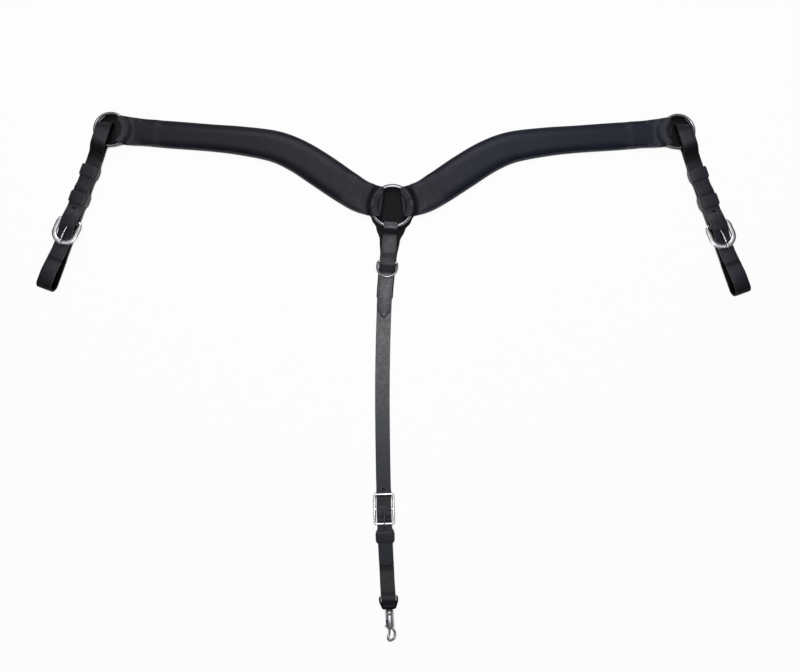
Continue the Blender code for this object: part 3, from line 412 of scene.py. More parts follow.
def named(name):
    """Names the primitive that was just added."""
    piece = bpy.context.object
    piece.name = piece.data.name = name
    return piece


def apply_modifier(piece, kind, **settings):
    activate(piece)
    step = piece.modifiers.new(kind.lower(), kind)
    for name, value in settings.items():
        setattr(step, name, value)
    bpy.ops.object.modifier_apply(modifier=step.name)


def select_only(piece, kind, chosen):
    """Opens a piece in edit mode with only the points, edges or faces that pass a test."""
    activate(piece)
    bpy.ops.object.mode_set(mode="EDIT")
    bpy.ops.mesh.select_mode(type=kind)
    bpy.ops.mesh.select_all(action="DESELECT")
    bpy.ops.object.mode_set(mode="OBJECT")
    mesh = piece.data
    for part in {"VERT": mesh.vertices, "EDGE": mesh.edges, "FACE": mesh.polygons}[kind]:
        part.select = chosen(part)
    bpy.ops.object.mode_set(mode="EDIT")


def face_out(piece, merge=0.0):
    """Turns all faces outwards, after merging points that lie closer than merge."""
    activate(piece)
    bpy.ops.object.mode_set(mode="EDIT")
    bpy.ops.mesh.select_all(action="SELECT")
    if merge:
        bpy.ops.mesh.remove_doubles(threshold=merge)
    bpy.ops.mesh.normals_make_consistent(inside=False)
    bpy.ops.object.mode_set(mode="OBJECT")


def thicken(piece, looks, thickness, edge):
    """Gives a surface the thickness of leather, three materials and rounded cut edges."""
    for look in looks:
        piece.data.materials.append(look)
    apply_modifier(piece, "SOLIDIFY", thickness=thickness, offset=0, use_even_offset=True,
                   material_offset=1, material_offset_rim=2)
    apply_modifier(piece, "BEVEL", width=edge, segments=2, limit_method="ANGLE",
                   angle_limit=CUT_EDGE)


def cut_or_join(piece, other, operation):
    apply_modifier(piece, "BOOLEAN", object=other, operation=operation, solver="EXACT")
    bpy.data.objects.remove(other, do_unlink=True)


def paint(piece, name, amount):
    """Raises an attribute to the values of a list, or of a function of the place."""
    mesh = piece.data
    marks = mesh.attributes.get(name) or mesh.attributes.new(name, "FLOAT", "POINT")
    values = [amount(vert.co) for vert in mesh.vertices] if callable(amount) else amount
    marks.data.foreach_set("value", [max(mark.value, value)
                                     for mark, value in zip(marks.data, values)])


def settle(piece):
    """Puts the piece's place into its mesh and smooths all but its sharp edges."""
    activate(piece)
    bpy.ops.object.transform_apply(location=True, rotation=True, scale=True)
    bpy.ops.object.shade_smooth_by_angle(angle=SHARP)


def hand_in(piece, body, slot, *nodes):
    settle(piece)
    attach(piece, body)
    if nodes:
        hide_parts(*nodes)
    print(piece.name, "on", body + ":", len(piece.data.polygons), "faces")


print("edges over", round(math.degrees(SHARP)), "degrees stay sharp")

# %% [markdown]
# A strip of leather starts as a flat grid primitive with one column for each crease or
# rim. Its rows are laid along the fold path, it gets its thickness from Solidify, and its
# cut edges are rounded by Bevel. The grain side, the flesh side and the dressed edge each
# have their own material. The function also hands back a way to find any spot on the
# grain side, which the stitches need.

# %% Cut a strip and lay it along its path
FOLD_WEAR_AND_SHEEN = 0.75
RIM_WEAR = 0.35
TIGHT_BEND = 4 * MM


def grid_of(name, rows):
    """A grid primitive whose points are moved to rows of places."""
    deselect()
    bpy.ops.mesh.primitive_grid_add(x_subdivisions=len(rows[0]) - 1,
                                    y_subdivisions=len(rows) - 1, size=1)
    piece = named(name)
    piece.data.vertices.foreach_set("co", [value for row in rows for spot in row for value in spot])
    return piece


def mirrored(*columns):
    """Columns on both sides of the middle."""
    return [-column for column in columns[::-1]] + [0, *columns]


def leather_strip(name, line, path, spread, thickness, columns, lift, looks, edge=0.7 * MM):
    """spread gives a column's shift along the line and its place across it.
    lift says how far the leather rises there."""
    runs = running(path)
    total = runs[-1]

    def spot(run, column, above=0.0):
        """Place, along and up of a spot, above the middle of the leather."""
        i = stretch_at(runs, run)
        share = (run - runs[i]) / (runs[i + 1] - runs[i])
        flat = path[i].lerp(path[i + 1], share)
        here = path[i + 1] - path[i]
        back = path[i] - path[i - 1] if i else here
        ahead = path[i + 2] - path[i + 1] if i + 2 < len(path) else here
        turn_in = (back.normalized() + here.normalized()).normalized()
        turn_out = (here.normalized() + ahead.normalized()).normalized()
        tangent = turn_in.lerp(turn_out, share).normalized()
        shift, wide = spread(flat.x, run, total, column)
        place, heading = line.at(flat.x + shift)
        across = Vector((heading.y, -heading.x)) * wide
        along = Vector((heading.x * tangent.x, heading.y * tangent.x, tangent.y))
        up = Vector((-heading.x * tangent.y, -heading.y * tangent.y, tangent.x))
        ground = Vector((place.x + across.x, place.y + across.y, flat.y))
        return ground + up * (lift(ground, flat.x, column, up.z, run) + above), along, up

    piece = grid_of(name, [[spot(run, column)[0] for column in columns] for run in runs])
    # Paler on tight folds and at the rims: wear at the rims, wear and a painted highlight on the
    # folds.
    wear_and_sheen = []
    for row in range(len(runs)):
        i = min(max(row, 1), len(path) - 2)
        ahead = path[i + 1] - path[i]
        bend = ahead.angle(path[i] - path[i - 1], 0) / ahead.length
        folded = min(bend * TIGHT_BEND, 1.0) ** 2
        wear_and_sheen += [min(1.0, FOLD_WEAR_AND_SHEEN * folded + RIM_WEAR * smooth_step((abs(column) - 0.9) / 0.1))
                for column in columns]
    paint(piece, "wear_and_sheen", wear_and_sheen)
    uv = piece.data.uv_layers[0].data
    for loop in piece.data.loops:
        row, column = divmod(loop.vertex_index, len(columns))
        across = spread(path[row].x, runs[row], total, columns[column])[1]
        uv[loop.index].uv = (across, runs[row])
    thicken(piece, looks, thickness, edge)
    face_out(piece)
    return piece, lambda run, column: spot(run, column, thickness / 2), total


def level(ground, distance, column, facing, run):
    """The lift of a strip that stays plain and flat."""
    return 0.0


def turned_up(facing):
    """1 where a strip's grain side faces up, and 0 where it is folded away."""
    return smooth_step((facing - 0.6) / 0.35)


print("a strip has a grain side, a flesh side and a dressed edge")

# %% [markdown]
# ## Sewing
# Harness is sewn at about eight stitches to the inch with waxed thread that sinks into a
# groove. One stitch is a small sphere drawn out into a grain of rice. It is copied along
# the seam, and each copy lies in the leather by half its depth. A seam has hundreds of
# stitches, so the first one has only a few dozen faces.

# %% Sew a seam
STITCH_PITCH = 3.3 * MM
STITCH_LENGTH = 2.7 * MM
THREAD_SIZE = 0.85 * MM
THREAD_SINK = 0.05 * MM


def sew(name, seams, body, slot):
    """One piece of thread work from lists of (place, along, up)."""
    deselect()
    bpy.ops.mesh.primitive_uv_sphere_add(segments=6, ring_count=5, radius=0.5)
    thread = named(name)
    pattern = [vert.co.copy() for vert in thread.data.vertices]
    shape = [tuple(face.vertices) for face in thread.data.polygons]
    stitches = [stitch for seam in seams for stitch in seam]
    bm = bmesh.new()
    for place, along, up in stitches:
        across = along.cross(up).normalized()
        verts = [bm.verts.new(place + across * co.x * THREAD_SIZE
                              + up * (co.y * THREAD_SIZE - THREAD_SINK)
                              + along * co.z * STITCH_LENGTH) for co in pattern]
        for corners in shape:
            bm.faces.new([verts[i] for i in corners])
    bm.to_mesh(thread.data)
    bm.free()
    thread.data.materials.append(THREAD)
    face_out(thread)
    print(name, "has", len(stitches), "stitches")
    hand_in(thread, body, slot)


def seam_along(spot, start, end, column):
    """Stitches from one run to another at a column that may change along the way."""
    count = max(2, round(abs(end - start) / STITCH_PITCH))
    runs = [start + (end - start) * (k + 0.5) / count for k in range(count)]
    return [spot(run, column(run) if callable(column) else column) for run in runs]


def seam_across(spot, run, start, end, width):
    """Stitches across a strip at one run."""
    count = max(2, round(abs(end - start) * width / STITCH_PITCH))
    seam = [spot(run, start + (end - start) * (k + 0.5) / count) for k in range(count)]
    return [(place, along.cross(up).normalized(), up) for place, along, up in seam]


def half_width(spot, run):
    return (spot(run, 1)[0] - spot(run, -1)[0]).length / 2


print("stitches to the inch:", round(25.4 * MM / STITCH_PITCH, 1))

# %% [markdown]
# ## Rings
# The rings are welded from drawn wire: 6 mm wire with a 2-1/2 in bore in the middle and
# 5.5 mm wire with a 2 in bore at the ends. A torus gives the wire. The weld leaves a small
# bead, so the points near it are fattened a little in edit mode. The CAD node says how
# large each ring is and where it lies.

# %% Model the rings
RING_STEPS = 112
WIRE_STEPS = 20
WELD_HALF_ANGLE = math.radians(3.5)
WELD_BEAD = 0.22 * MM


def welded_ring(node, body, weld_angle):
    low, high = (Vector(corner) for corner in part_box(node))
    wire = (high.z - low.z) / 2
    deselect()
    bpy.ops.mesh.primitive_torus_add(
        major_segments=RING_STEPS, minor_segments=WIRE_STEPS,
        major_radius=(high.x - low.x) / 2 - wire, minor_radius=wire)
    ring = named(node + "_wire")

    def in_weld(vert):
        away = math.atan2(vert.co.y, vert.co.x) - math.radians(weld_angle)
        return abs((away + math.pi) % math.tau - math.pi) < WELD_HALF_ANGLE

    select_only(ring, "VERT", in_weld)
    bpy.ops.transform.shrink_fatten(value=WELD_BEAD)
    bpy.ops.object.mode_set(mode="OBJECT")
    ring.location = (low + high) / 2
    ring.data.materials.append(SHADED_PLATED_WIRE)
    hand_in(ring, body, "nickel_plated_wire", node)


welded_ring("centre_ring", "ring", 78)
welded_ring("left_ring", "left_outer_ring", 150)
welded_ring("right_ring", "right_outer_ring", -28)

# %% [markdown]
# ## Bars and wires
# Buckle frames, tongues, the dee and the snap are bars of round or oval section. A flat
# grid is rolled up along a path: its columns go round the bar and its rows run along it.
# The seam and the poles are closed by merging, and the section may change on the way.

# %% Roll a bar along a path
MERGE = 0.01 * MM
UP = Vector((0, 0, 1))
ACROSS = Vector((1, 0, 0))
BOW_STEPS = 28


def squared(value, power):
    return math.copysign(abs(value) ** power, value)


def bar_along(name, points, section, look, normal=UP, closed=False, sides=16, power=1.0):
    """section is a round bar's radius, or gives half the width in the path's plane and half
    the height along normal for each point."""
    points = [point.to_3d() for point in points]
    count = len(points)
    rows = []
    for i, point in enumerate(points):
        before = points[i - 1] if closed or i else point
        after = points[(i + 1) % count] if closed or i < count - 1 else point
        ahead = (after - before).normalized()
        side = ahead.cross(normal)
        wide, tall = section(i) if callable(section) else (section, section)

        def ring_at(centre, share):
            turns = [math.tau * k / sides for k in range(sides)]
            spots = [centre + side * squared(math.cos(a), power) * wide * share
                     + normal * squared(math.sin(a), power) * tall * share for a in turns]
            return spots + [spots[0]]

        crown = min(wide, tall)
        cap = [math.pi / 6, math.pi / 3, math.pi / 2]
        if not closed and i == 0:
            rows += [ring_at(point - ahead * crown * math.sin(a), math.cos(a)) for a in cap[::-1]]
        rows.append(ring_at(point, 1))
        if not closed and i == count - 1:
            rows += [ring_at(point + ahead * crown * math.sin(a), math.cos(a)) for a in cap]
    if closed:
        rows.append(rows[0])
    return rolled(name, rows, look)


def rolled(name, rows, look):
    """Closes a grid whose first and last columns lie together."""
    piece = grid_of(name, rows)
    face_out(piece, merge=MERGE)
    piece.data.materials.append(look)
    return piece


def horseshoe(half, bend, middle):
    """A straight bar with round corners, closed by half a circle about the middle."""
    straight = fold_path([(-half, -half, 0), (-half, 0, bend), (half, 0, bend), (half, -half, 0)],
                         2.5 * MM)
    turns = [math.pi * k / BOW_STEPS for k in range(BOW_STEPS + 1)]
    bow = [Vector((half * math.cos(turn), middle - half * math.sin(turn))) for turn in turns]
    return [spot for spot in straight if spot.y > middle] + bow


print("a horseshoe's bow has", BOW_STEPS, "steps")

# %% [markdown]
# ## Tug buckles
# The tug buckles are cast horseshoes: a thin heel bar inside the strap's fold, and a broad
# flat band round the front. The tongue is a bent wire that wraps the heel bar and rests on
# the band. Each is modelled once and copied to both sides.

# %% Measures of the straps and the tug buckles
FIT = 0.3 * MM
LAYER_GAP = 0.5 * MM
FACE_THICK = 2.8 * MM
LINING_THICK = 2.2 * MM
STRAP_THICK = 3.0 * MM
SNAP_THICK = 2.4 * MM
KEEPER_THICK = 1.6 * MM
STRAP_WIDTH = 25.4 * MM
SIDE_PLAY = 0.4 * MM
BACK_BASE = LINING_THICK + FIT
STRAP_BACK = BACK_BASE + STRAP_THICK / 2
LAYER_STEP = STRAP_THICK + LAYER_GAP
CENTRE_RING_RADIUS = 34.75 * MM
CENTRE_WIRE = 6.0 * MM
CENTRE_RING_HEIGHT = 9.2 * MM
OUTER_RING_RADIUS = 28.15 * MM
OUTER_WIRE = 5.5 * MM
OUTER_RING_HEIGHT = 8.75 * MM
RING_PLAY = 0.7 * MM
OUTER_PLAY = 0.5 * MM
RING_REACH = 490.5 * MM
RING_RISE = 131.0 * MM
TUG_ANGLE = math.radians(20)
TUG_OFFSET = 9 * MM
HEEL_BAR = 172 * MM
HEEL_WIRE = 5 * MM
FRAME_WIDTH = 46.5 * MM
FRAME_LENGTH = 46 * MM
FRAME_BAND = 8.5 * MM
FRAME_THICK = 4 * MM
FRAME_SQUARENESS = 0.8
TUG_TONGUE_WIRE = 3 * MM

skin = STRAP_THICK / 2
layer_one = STRAP_BACK + LAYER_STEP
layer_two = layer_one + LAYER_STEP
layer_three = layer_two + LAYER_STEP
bar_bend = HEEL_WIRE / 2 + FIT + skin
heel_height = layer_one + bar_bend
over_heel = heel_height + bar_bend
billet_over = over_heel + LAYER_STEP
billet_dip = billet_over - 5.2 * MM
band_half = FRAME_BAND / 2
arc_reach = FRAME_LENGTH - band_half
arc_height = billet_dip + skin + FIT + FRAME_THICK / 2 + 0.9 * MM
frame_tilt = math.asin((arc_height - heel_height) / arc_reach)


def tug_place(side):
    """The frame of a tug strap: its origin is the middle of the outer ring."""
    return (Matrix.Translation((side * RING_REACH, RING_RISE, 0))
            @ Matrix.Rotation(side * TUG_ANGLE, 4, "Z"))


def on_tug(side, distance, height=0.0):
    """The frame of a spot on a tug strap's middle line."""
    return tug_place(side) @ Matrix.Translation((side * TUG_OFFSET, -distance, height))


def on_heel_bars(model, piece_name, body, node, turn):
    """Stands a copy of a model on both heel bars, and takes the model away."""
    for side, word in SIDES:
        activate(model)
        bpy.ops.object.duplicate(linked=False)
        twin = named(word + piece_name)
        twin.matrix_world = on_tug(side, HEEL_BAR, heel_height) @ turn
        hand_in(twin, word + body, "nickel_plated_casting", word + node)
    bpy.data.objects.remove(model, do_unlink=True)


print("buckle frame tilt:", round(math.degrees(frame_tilt), 1), "degrees")

# %% Cast the tug buckle
half = FRAME_WIDTH / 2 - band_half
outline = horseshoe(half, 4 * MM, half - arc_reach)


def frame_section(i):
    share = value_at(mm_table((1, 0), (9, 1)), -outline[i].y)
    return (HEEL_WIRE / 2 + (band_half - HEEL_WIRE / 2) * share,
            HEEL_WIRE / 2 + (FRAME_THICK / 2 - HEEL_WIRE / 2) * share)


buckle = bar_along("tug_buckle", outline, frame_section, PLATED_CASTING, closed=True, sides=20,
                   power=FRAME_SQUARENESS)
on_heel_bars(buckle, "_tug_buckle_frame", "_tug", "_tug_buckle",
             Matrix.Rotation(-frame_tilt, 4, "X"))

# %% Bend the tongue
WRAP_STEPS = 16
TIP_ROWS = 9
TIP_SHARE = 0.62


def bent_tongue(name, bar_radius, wire, corners):
    """A wire wrapped round a bar, then along corners of (distance, height, bend)."""
    reach = bar_radius + FIT + wire / 2
    angles = [math.radians(-30 - 240 * k / WRAP_STEPS) for k in range(WRAP_STEPS + 1)]
    wrap = [Vector((-reach * math.cos(angle), reach * math.sin(angle))) for angle in angles]
    run = fold_path([(*wrap[-1], 0), *[(-along, height, bend) for along, height, bend in corners]],
                    2 * MM)
    points = [Vector((0, spot.x, spot.y)) for spot in wrap + run[1:]]

    def tapered(i):
        left = (len(points) - 1 - i) / TIP_ROWS
        size = wire / 2 * (TIP_SHARE + (1 - TIP_SHARE) * smooth_step(left))
        return size, size

    return bar_along(name, points, tapered, PLATED_CASTING, ACROSS, sides=12)


wrap = HEEL_WIRE / 2 + FIT + TUG_TONGUE_WIRE / 2
rest = arc_height - heel_height + FRAME_THICK / 2 + FIT + TUG_TONGUE_WIRE / 2
reach = arc_reach * math.cos(frame_tilt)
tongue = bent_tongue("tug_tongue", HEEL_WIRE / 2, TUG_TONGUE_WIRE, [
    (12 * MM, wrap, 6 * MM), (18 * MM, wrap + 3.0 * MM, 8 * MM),
    (24 * MM, wrap + 5.6 * MM, 8 * MM), (reach - 6 * MM, rest - 0.2 * MM, 10 * MM),
    (reach + 3.5 * MM, rest + 0.3 * MM, 0)])
on_heel_bars(tongue, "_tug_tongue_wire", "_tongue", "_tug_tongue", Matrix.Identity(4))

# %% [markdown]
# ## Tug straps
# Each tug strap is one long strip. From its rounded free end it runs down through both
# keepers and the buckle, turns round in a loop for the saddle, comes up behind, folds over
# the outer ring and goes back down to the buckle's heel bar. A creasing iron has pressed a
# line along both edges.

# %% Lay the tug straps
CREASE_DEPTH = 0.2 * MM
CREASE_COLUMN = 0.81
CROWN = 0.5 * MM
STRAP_COLUMNS = mirrored(0.45, 0.77, CREASE_COLUMN, 0.85, 0.94, 1)
UPPER_KEEPER = 81.5 * MM
LOWER_KEEPER = 131.5 * MM
KEEPER_LENGTH = 20 * MM
TUG_BOTTOM = 300 * MM
TUG_LOOP_HEIGHT = 26 * MM
TUG_TIP = 66 * MM
BEND_OUT = 2.8 * MM
FOLD_SLANT = 4.6 * MM
HOLE_PITCH = 38.1 * MM
HOLE_WIDTH = 5 * MM
HOLE_PAST_BAR = 17 * MM
HEEL_SLOT = 17 * MM
TONGUE_SLOT = 13 * MM
CUT_MARGIN = 0.2 * MM
TUG_PAINTED_SHADE = mm_table(
    (-9, 0.6), (-2, 0.3), (4, 0.0), (24, 0.0), (34, 0.85), (52, 0.9), (62, 0.2), (150, 0.0),
    (225, 0.0), (239, 0.1), (244, 0.6), (250, 0.0), (272, 0.1), (290, 0.7))
TUG_WEAR_AND_SHEEN = mm_table(
    (-2, 0.0), (8, 0.4), (20, 0.5), (30, 0.0), (100, 0.3), (120, 0.0), (142, 0.2), (156, 0.6),
    (166, 0.2), (222, 0.3), (238, 0.25), (244, 0.0), (254, 0.3), (278, 0.1))


def creased(ground, distance, column, facing, run):
    """A slight crown, and a pressed line that fades where the strap turns and at its tip."""
    upward = turned_up(facing) * smooth_step((run - 3 * MM) / (12 * MM))
    line = CREASE_DEPTH if abs(abs(column) - CREASE_COLUMN) < 0.01 else 0.0
    return upward * (CROWN * (1 - column ** 2) - line)


def strap_spread(round_start, point=0.0):
    """A strap's width, with a rounded start and an end that may be pointed."""
    def spread(distance, run, total, column):
        share = 1.0
        if run < round_start:
            share = 0.22 + 0.78 * math.sqrt(1 - (1 - run / round_start) ** 2)
        if point and total - run < point:
            share = 0.10 + 0.90 * (total - run) / point
        return 0.0, STRAP_WIDTH / 2 * share * column
    return spread


def tug_path():
    over_ring = OUTER_RING_HEIGHT + OUTER_WIRE / 2 + OUTER_PLAY + skin
    ring_bend = (over_ring - STRAP_BACK) / 2
    bar_turn = HEEL_BAR + bar_bend
    ramp = LOWER_KEEPER - KEEPER_LENGTH / 2 - 7.5 * MM
    loop_top = TUG_LOOP_HEIGHT - skin
    loop_bend = (loop_top - skin) / 2 - 1.4 * MM
    loop_end = TUG_BOTTOM - skin
    frame_end = HEEL_BAR + FRAME_LENGTH
    fold = -9 * MM + skin
    corners = [
        (118 * MM, layer_one, 0), (bar_turn, layer_one, bar_bend), (bar_turn, over_heel, bar_bend),
        (HEEL_BAR - 4 * MM, over_heel, 8 * MM), (HEEL_BAR - 22 * MM, layer_two, 12 * MM),
        (ramp, layer_two, 12 * MM), (ramp - 10 * MM, layer_one, 12 * MM),
        (OUTER_RING_RADIUS + 18 * MM, layer_one, 8 * MM),
        (OUTER_RING_RADIUS + 5 * MM, over_ring, 8 * MM),
        (fold, over_ring, ring_bend), (fold, STRAP_BACK, ring_bend),
        (frame_end + 14 * MM, STRAP_BACK, 30 * MM), (frame_end + 36 * MM, skin, 30 * MM),
        (loop_end, skin, loop_bend), (loop_end, loop_top, loop_bend),
        (TUG_BOTTOM - 32 * MM, loop_top, 30 * MM),
        (frame_end + 8 * MM, billet_dip - 0.6 * MM, 25 * MM),
        (HEEL_BAR + 30 * MM, billet_dip - 0.6 * MM, 20 * MM),
        (HEEL_BAR + 9 * MM, billet_over, 12 * MM), (HEEL_BAR - 4 * MM, billet_over, 11 * MM),
        (HEEL_BAR - 22 * MM, layer_three, 12 * MM), (ramp, layer_three, 12 * MM),
        (ramp - 10 * MM, layer_two, 12 * MM), (TUG_TIP, layer_two, 0)]
    path = fold_path(corners[::-1], 3 * MM)
    start = next(i for i, spot in enumerate(path) if spot.x > TUG_TIP + 10 * MM)
    tip = [Vector((TUG_TIP + d * MM, layer_two)) for d in (0, 0.6, 1.5, 2.8, 4.5, 6.5, 9)]
    return tip + path[start:]


def punch(piece, place, length, width, low, high):
    """Punches a round or round-ended hole whose length runs along the strap."""
    deselect()
    bpy.ops.mesh.primitive_cylinder_add(vertices=24, radius=width / 2, depth=high - low,
                                        location=(0, 0, (low + high) / 2))
    bpy.ops.object.transform_apply(location=True, rotation=False, scale=False)
    cutter = bpy.context.object
    for vert in cutter.data.vertices:
        vert.co.y += math.copysign((length - width) / 2, vert.co.y)
    cutter.matrix_world = place
    cut_or_join(piece, cutter, "DIFFERENCE")


def punch_round(piece, place, height):
    """Punches a round hole through one layer of strap."""
    punch(piece, place, HOLE_WIDTH, HOLE_WIDTH, height - skin - CUT_MARGIN, height + skin + MM)


def lay_tug(side, word):
    plain = strap_spread(round_start=11 * MM)

    def spread(distance, run, total, column):
        """Near the ring the strap bends outwards, and its fold lies level with the panel's end."""
        near = smooth_step((72 * MM - distance) / (80 * MM))
        at_fold = smooth_step((20 * MM - distance) / (28 * MM))
        across = plain(distance, run, total, column)[1] - side * BEND_OUT * near
        return -side * column * FOLD_SLANT * at_fold, across

    place = tug_place(side)
    line = Line([place @ Vector((side * TUG_OFFSET, y, 0)) for y in (0, -TUG_BOTTOM)])
    strap, _, _ = leather_strip(
        word + "_tug_leather", line, tug_path(), spread, STRAP_THICK, STRAP_COLUMNS, creased,
        (TUG_LEATHER, FLESH_SIDE, EDGE_DRESSING))
    into_place = place.inverted()
    # Painted shade on the down-facing slopes and the loop's turns; paler bands of wear and painted
    # highlight.
    for name, table in (("painted_shade", TUG_PAINTED_SHADE), ("wear_and_sheen", TUG_WEAR_AND_SHEEN)):
        paint(strap, name, lambda co: value_at(table, -(into_place @ co).y))
    room = TUG_TONGUE_WIRE + 2 * SIDE_PLAY + 0.6 * MM
    past_bar = HEEL_BAR + HOLE_PAST_BAR
    punch(strap, on_tug(side, HEEL_BAR), HEEL_SLOT, room,
          STRAP_BACK + skin + CUT_MARGIN, over_heel + skin + CUT_MARGIN)
    punch(strap, on_tug(side, past_bar), TONGUE_SLOT, room, heel_height + 2 * MM,
          billet_over + 3 * MM)
    punch_round(strap, on_tug(side, past_bar - HOLE_PITCH), layer_three)
    hand_in(strap, word + "_tug", "waxed_strap_leather", word + "_tug_strap")


for side, word in SIDES:
    lay_tug(side, word)

# %% [markdown]
# ## Keepers
# A keeper is a thin band of leather wrapped round the strap's layers and butted behind.
# It starts as a cube of the layers' size, loses its two open ends, gets its four long
# edges rounded with a bevel, is cut into rows, and swells a little in the middle where
# the strap pushes it out. Solidify gives it 1.6 mm of leather.

# %% Wrap the keepers
ROW_CUTS = (-0.42, -0.3, -0.1, 0.1, 0.3, 0.42)
COLUMN_CUTS = (-0.6, -0.2, 0.2, 0.6)


def wrap_keeper(name, top, bottom, body, place, node, bulge=0.7 * MM):
    """top and bottom are the inner heights of the loop; bulge is how far its sides swell."""
    half = STRAP_WIDTH / 2 + SIDE_PLAY + KEEPER_THICK / 2
    low, high = bottom - KEEPER_THICK / 2, top + KEEPER_THICK / 2
    deselect()
    bpy.ops.mesh.primitive_cube_add(size=1, location=(0, 0, (low + high) / 2),
                                    scale=(2 * half, KEEPER_LENGTH, high - low))
    bpy.ops.object.transform_apply(location=True, rotation=False, scale=True)
    loop = named(name)
    select_only(loop, "FACE", lambda face: abs(face.normal.y) > 0.9)
    bpy.ops.mesh.delete(type="ONLY_FACE")

    def is_long(edge):
        start, end = (loop.data.vertices[i].co.y for i in edge.vertices)
        return abs(start - end) > KEEPER_LENGTH / 2

    select_only(loop, "EDGE", is_long)
    bpy.ops.mesh.bevel(offset=KEEPER_THICK / 2 + 0.6 * MM, segments=5)
    bpy.ops.mesh.select_mode(type="VERT")
    planes = [((0, cut * KEEPER_LENGTH, 0), (0, 1, 0)) for cut in ROW_CUTS]
    planes += [((cut * half, 0, 0), (1, 0, 0)) for cut in COLUMN_CUTS]
    for point, normal in planes:
        bpy.ops.mesh.select_all(action="SELECT")
        bpy.ops.mesh.bisect(plane_co=point, plane_no=normal)
    bpy.ops.object.mode_set(mode="OBJECT")
    wear_and_sheen = []
    for vert in loop.data.vertices:
        co = vert.co
        inset = 1 - abs(co.y) / (KEEPER_LENGTH / 2)
        if co.z > high - 0.1 * MM:
            co.z += (0.6 + 0.4 * smooth_step(inset * 3)) * MM * (1 - (co.x / half) ** 2)
        if abs(co.x) > 0.8 * half:
            co.x += math.copysign(bulge * smooth_step(inset * 2.5), co.x)
        corner = smooth_step((abs(co.x) / half - 0.86) / 0.1)
        wear_and_sheen.append(0.5 * smooth_step(1 - inset * 6) + 0.45 * corner)
    paint(loop, "wear_and_sheen", wear_and_sheen)
    face_out(loop)
    thicken(loop, (KEEPER_LEATHER, FLESH_SIDE, EDGE_DRESSING), KEEPER_THICK, 0.4 * MM)
    loop.matrix_world = place
    hand_in(loop, body, "keeper_leather", node)


for side, word in SIDES:
    for which, distance, layer, body in (
            ("_upper_keeper", UPPER_KEEPER, layer_two, word + "_loose_keeper"),
            ("_lower_keeper", LOWER_KEEPER, layer_three, word + "_tug")):
        wrap_keeper(word + which + "_loop", layer + skin + FIT, BACK_BASE - FIT, body,
                    on_tug(side, distance), word + which)

# %% [markdown]
# ## Breast panels
# Each half of the breast is one piece of face leather, folded back round both rings and
# stitched down to a lining over a felt pad. The pad lifts the leather between the rows of
# stitches, so the panel has a flat rim, a firm shoulder and a gentle crown. Where the
# leather passes over a ring's wire it drapes over it and drops into a valley behind. The
# valleys get painted shade, black and dull, and the soft lips over the wire get a paler
# painted highlight.

# %% Measures of the breast
BREAST_LINE = [(x * MM, y * MM, width * MM) for x, y, width in (
    (15.5, 5.5, 47), (52, 16.5, 55), (80, 33, 58.5), (122, 61.2, 60), (164, 87.2, 57.5),
    (205, 104, 54), (261, 113.3, 49.5), (317, 118.6, 46.5), (400, 124.6, 46.5), (490.5, 131, 41))]
RETURN_TAIL = 60 * MM
END_INSET = 11 * MM
PANEL_RISE = 4.8 * MM
TAIL_RISE = 2.2 * MM
SEAM_INSET = 3.6 * MM
SEAM_GROOVE = 0.45 * MM
RETURN_MID = BACK_BASE + FACE_THICK / 2
OVER_TAIL = RETURN_MID + FACE_THICK + FIT
INNER_TOP = CENTRE_RING_HEIGHT + CENTRE_WIRE / 2 + RING_PLAY + FACE_THICK / 2
OUTER_TOP = OUTER_RING_HEIGHT + OUTER_WIRE / 2 + 1.6 * MM + FACE_THICK / 2
FOLD_DROP = 1.2 * MM
INNER_DIP = 10.9 * MM
OUTER_FOOT = OVER_TAIL + 1.2 * MM
DRAPE_REACH = 25 * MM
INNER_HANG = 4.2 * MM
INNER_DRAPE = 3.9 * MM
OUTER_DRAPE = 8.5 * MM
LIP_PLACE = 2.5 * MM
LIP_WIDTH = 4 * MM
HINGE_REACH = 6 * MM
TIP_SLOPE = 0.17
MIDDLE_BLEND = 18 * MM
PAD_SHOULDER = 0.62
PAD_ROUNDNESS = 2.4
PAD_FROM_INNER = 44 * MM
PAD_FROM_OUTER = 29 * MM
GROOVE_WIDTH = 0.9 * MM
FOLD_TURN = math.tan(math.radians(9.4))
VALLEY_SHADE = ((1.0, "inner", 42.5, 3.4), (0.7, "inner", 25.5, 1.6), (0.75, "outer", 18.5, 3.5))
LIP_HIGHLIGHTS = ((1.0, "inner", 32, 4.5), (0.8, "outer", 24.5, 3))
FACE_COLUMNS = mirrored(0.12, 0.26, 0.4, 0.5, 0.6, 0.68, 0.74, 0.785, 0.82, 0.845, 0.865, 0.885,
                        0.93, 1)


def breast_line(side):
    line = Line([(side * x, y, width) for x, y, width in BREAST_LINE])
    return line, [(length, point.z / 2) for length, point in zip(line.lengths, line.points)]


def from_outer_ring(side, place):
    """How far a place is from the middle of an outer ring."""
    return (place.xy - Vector((side * RING_REACH, RING_RISE))).length


print("leather over the rings:", round(INNER_TOP / MM, 1), round(OUTER_TOP / MM, 1), "mm high")

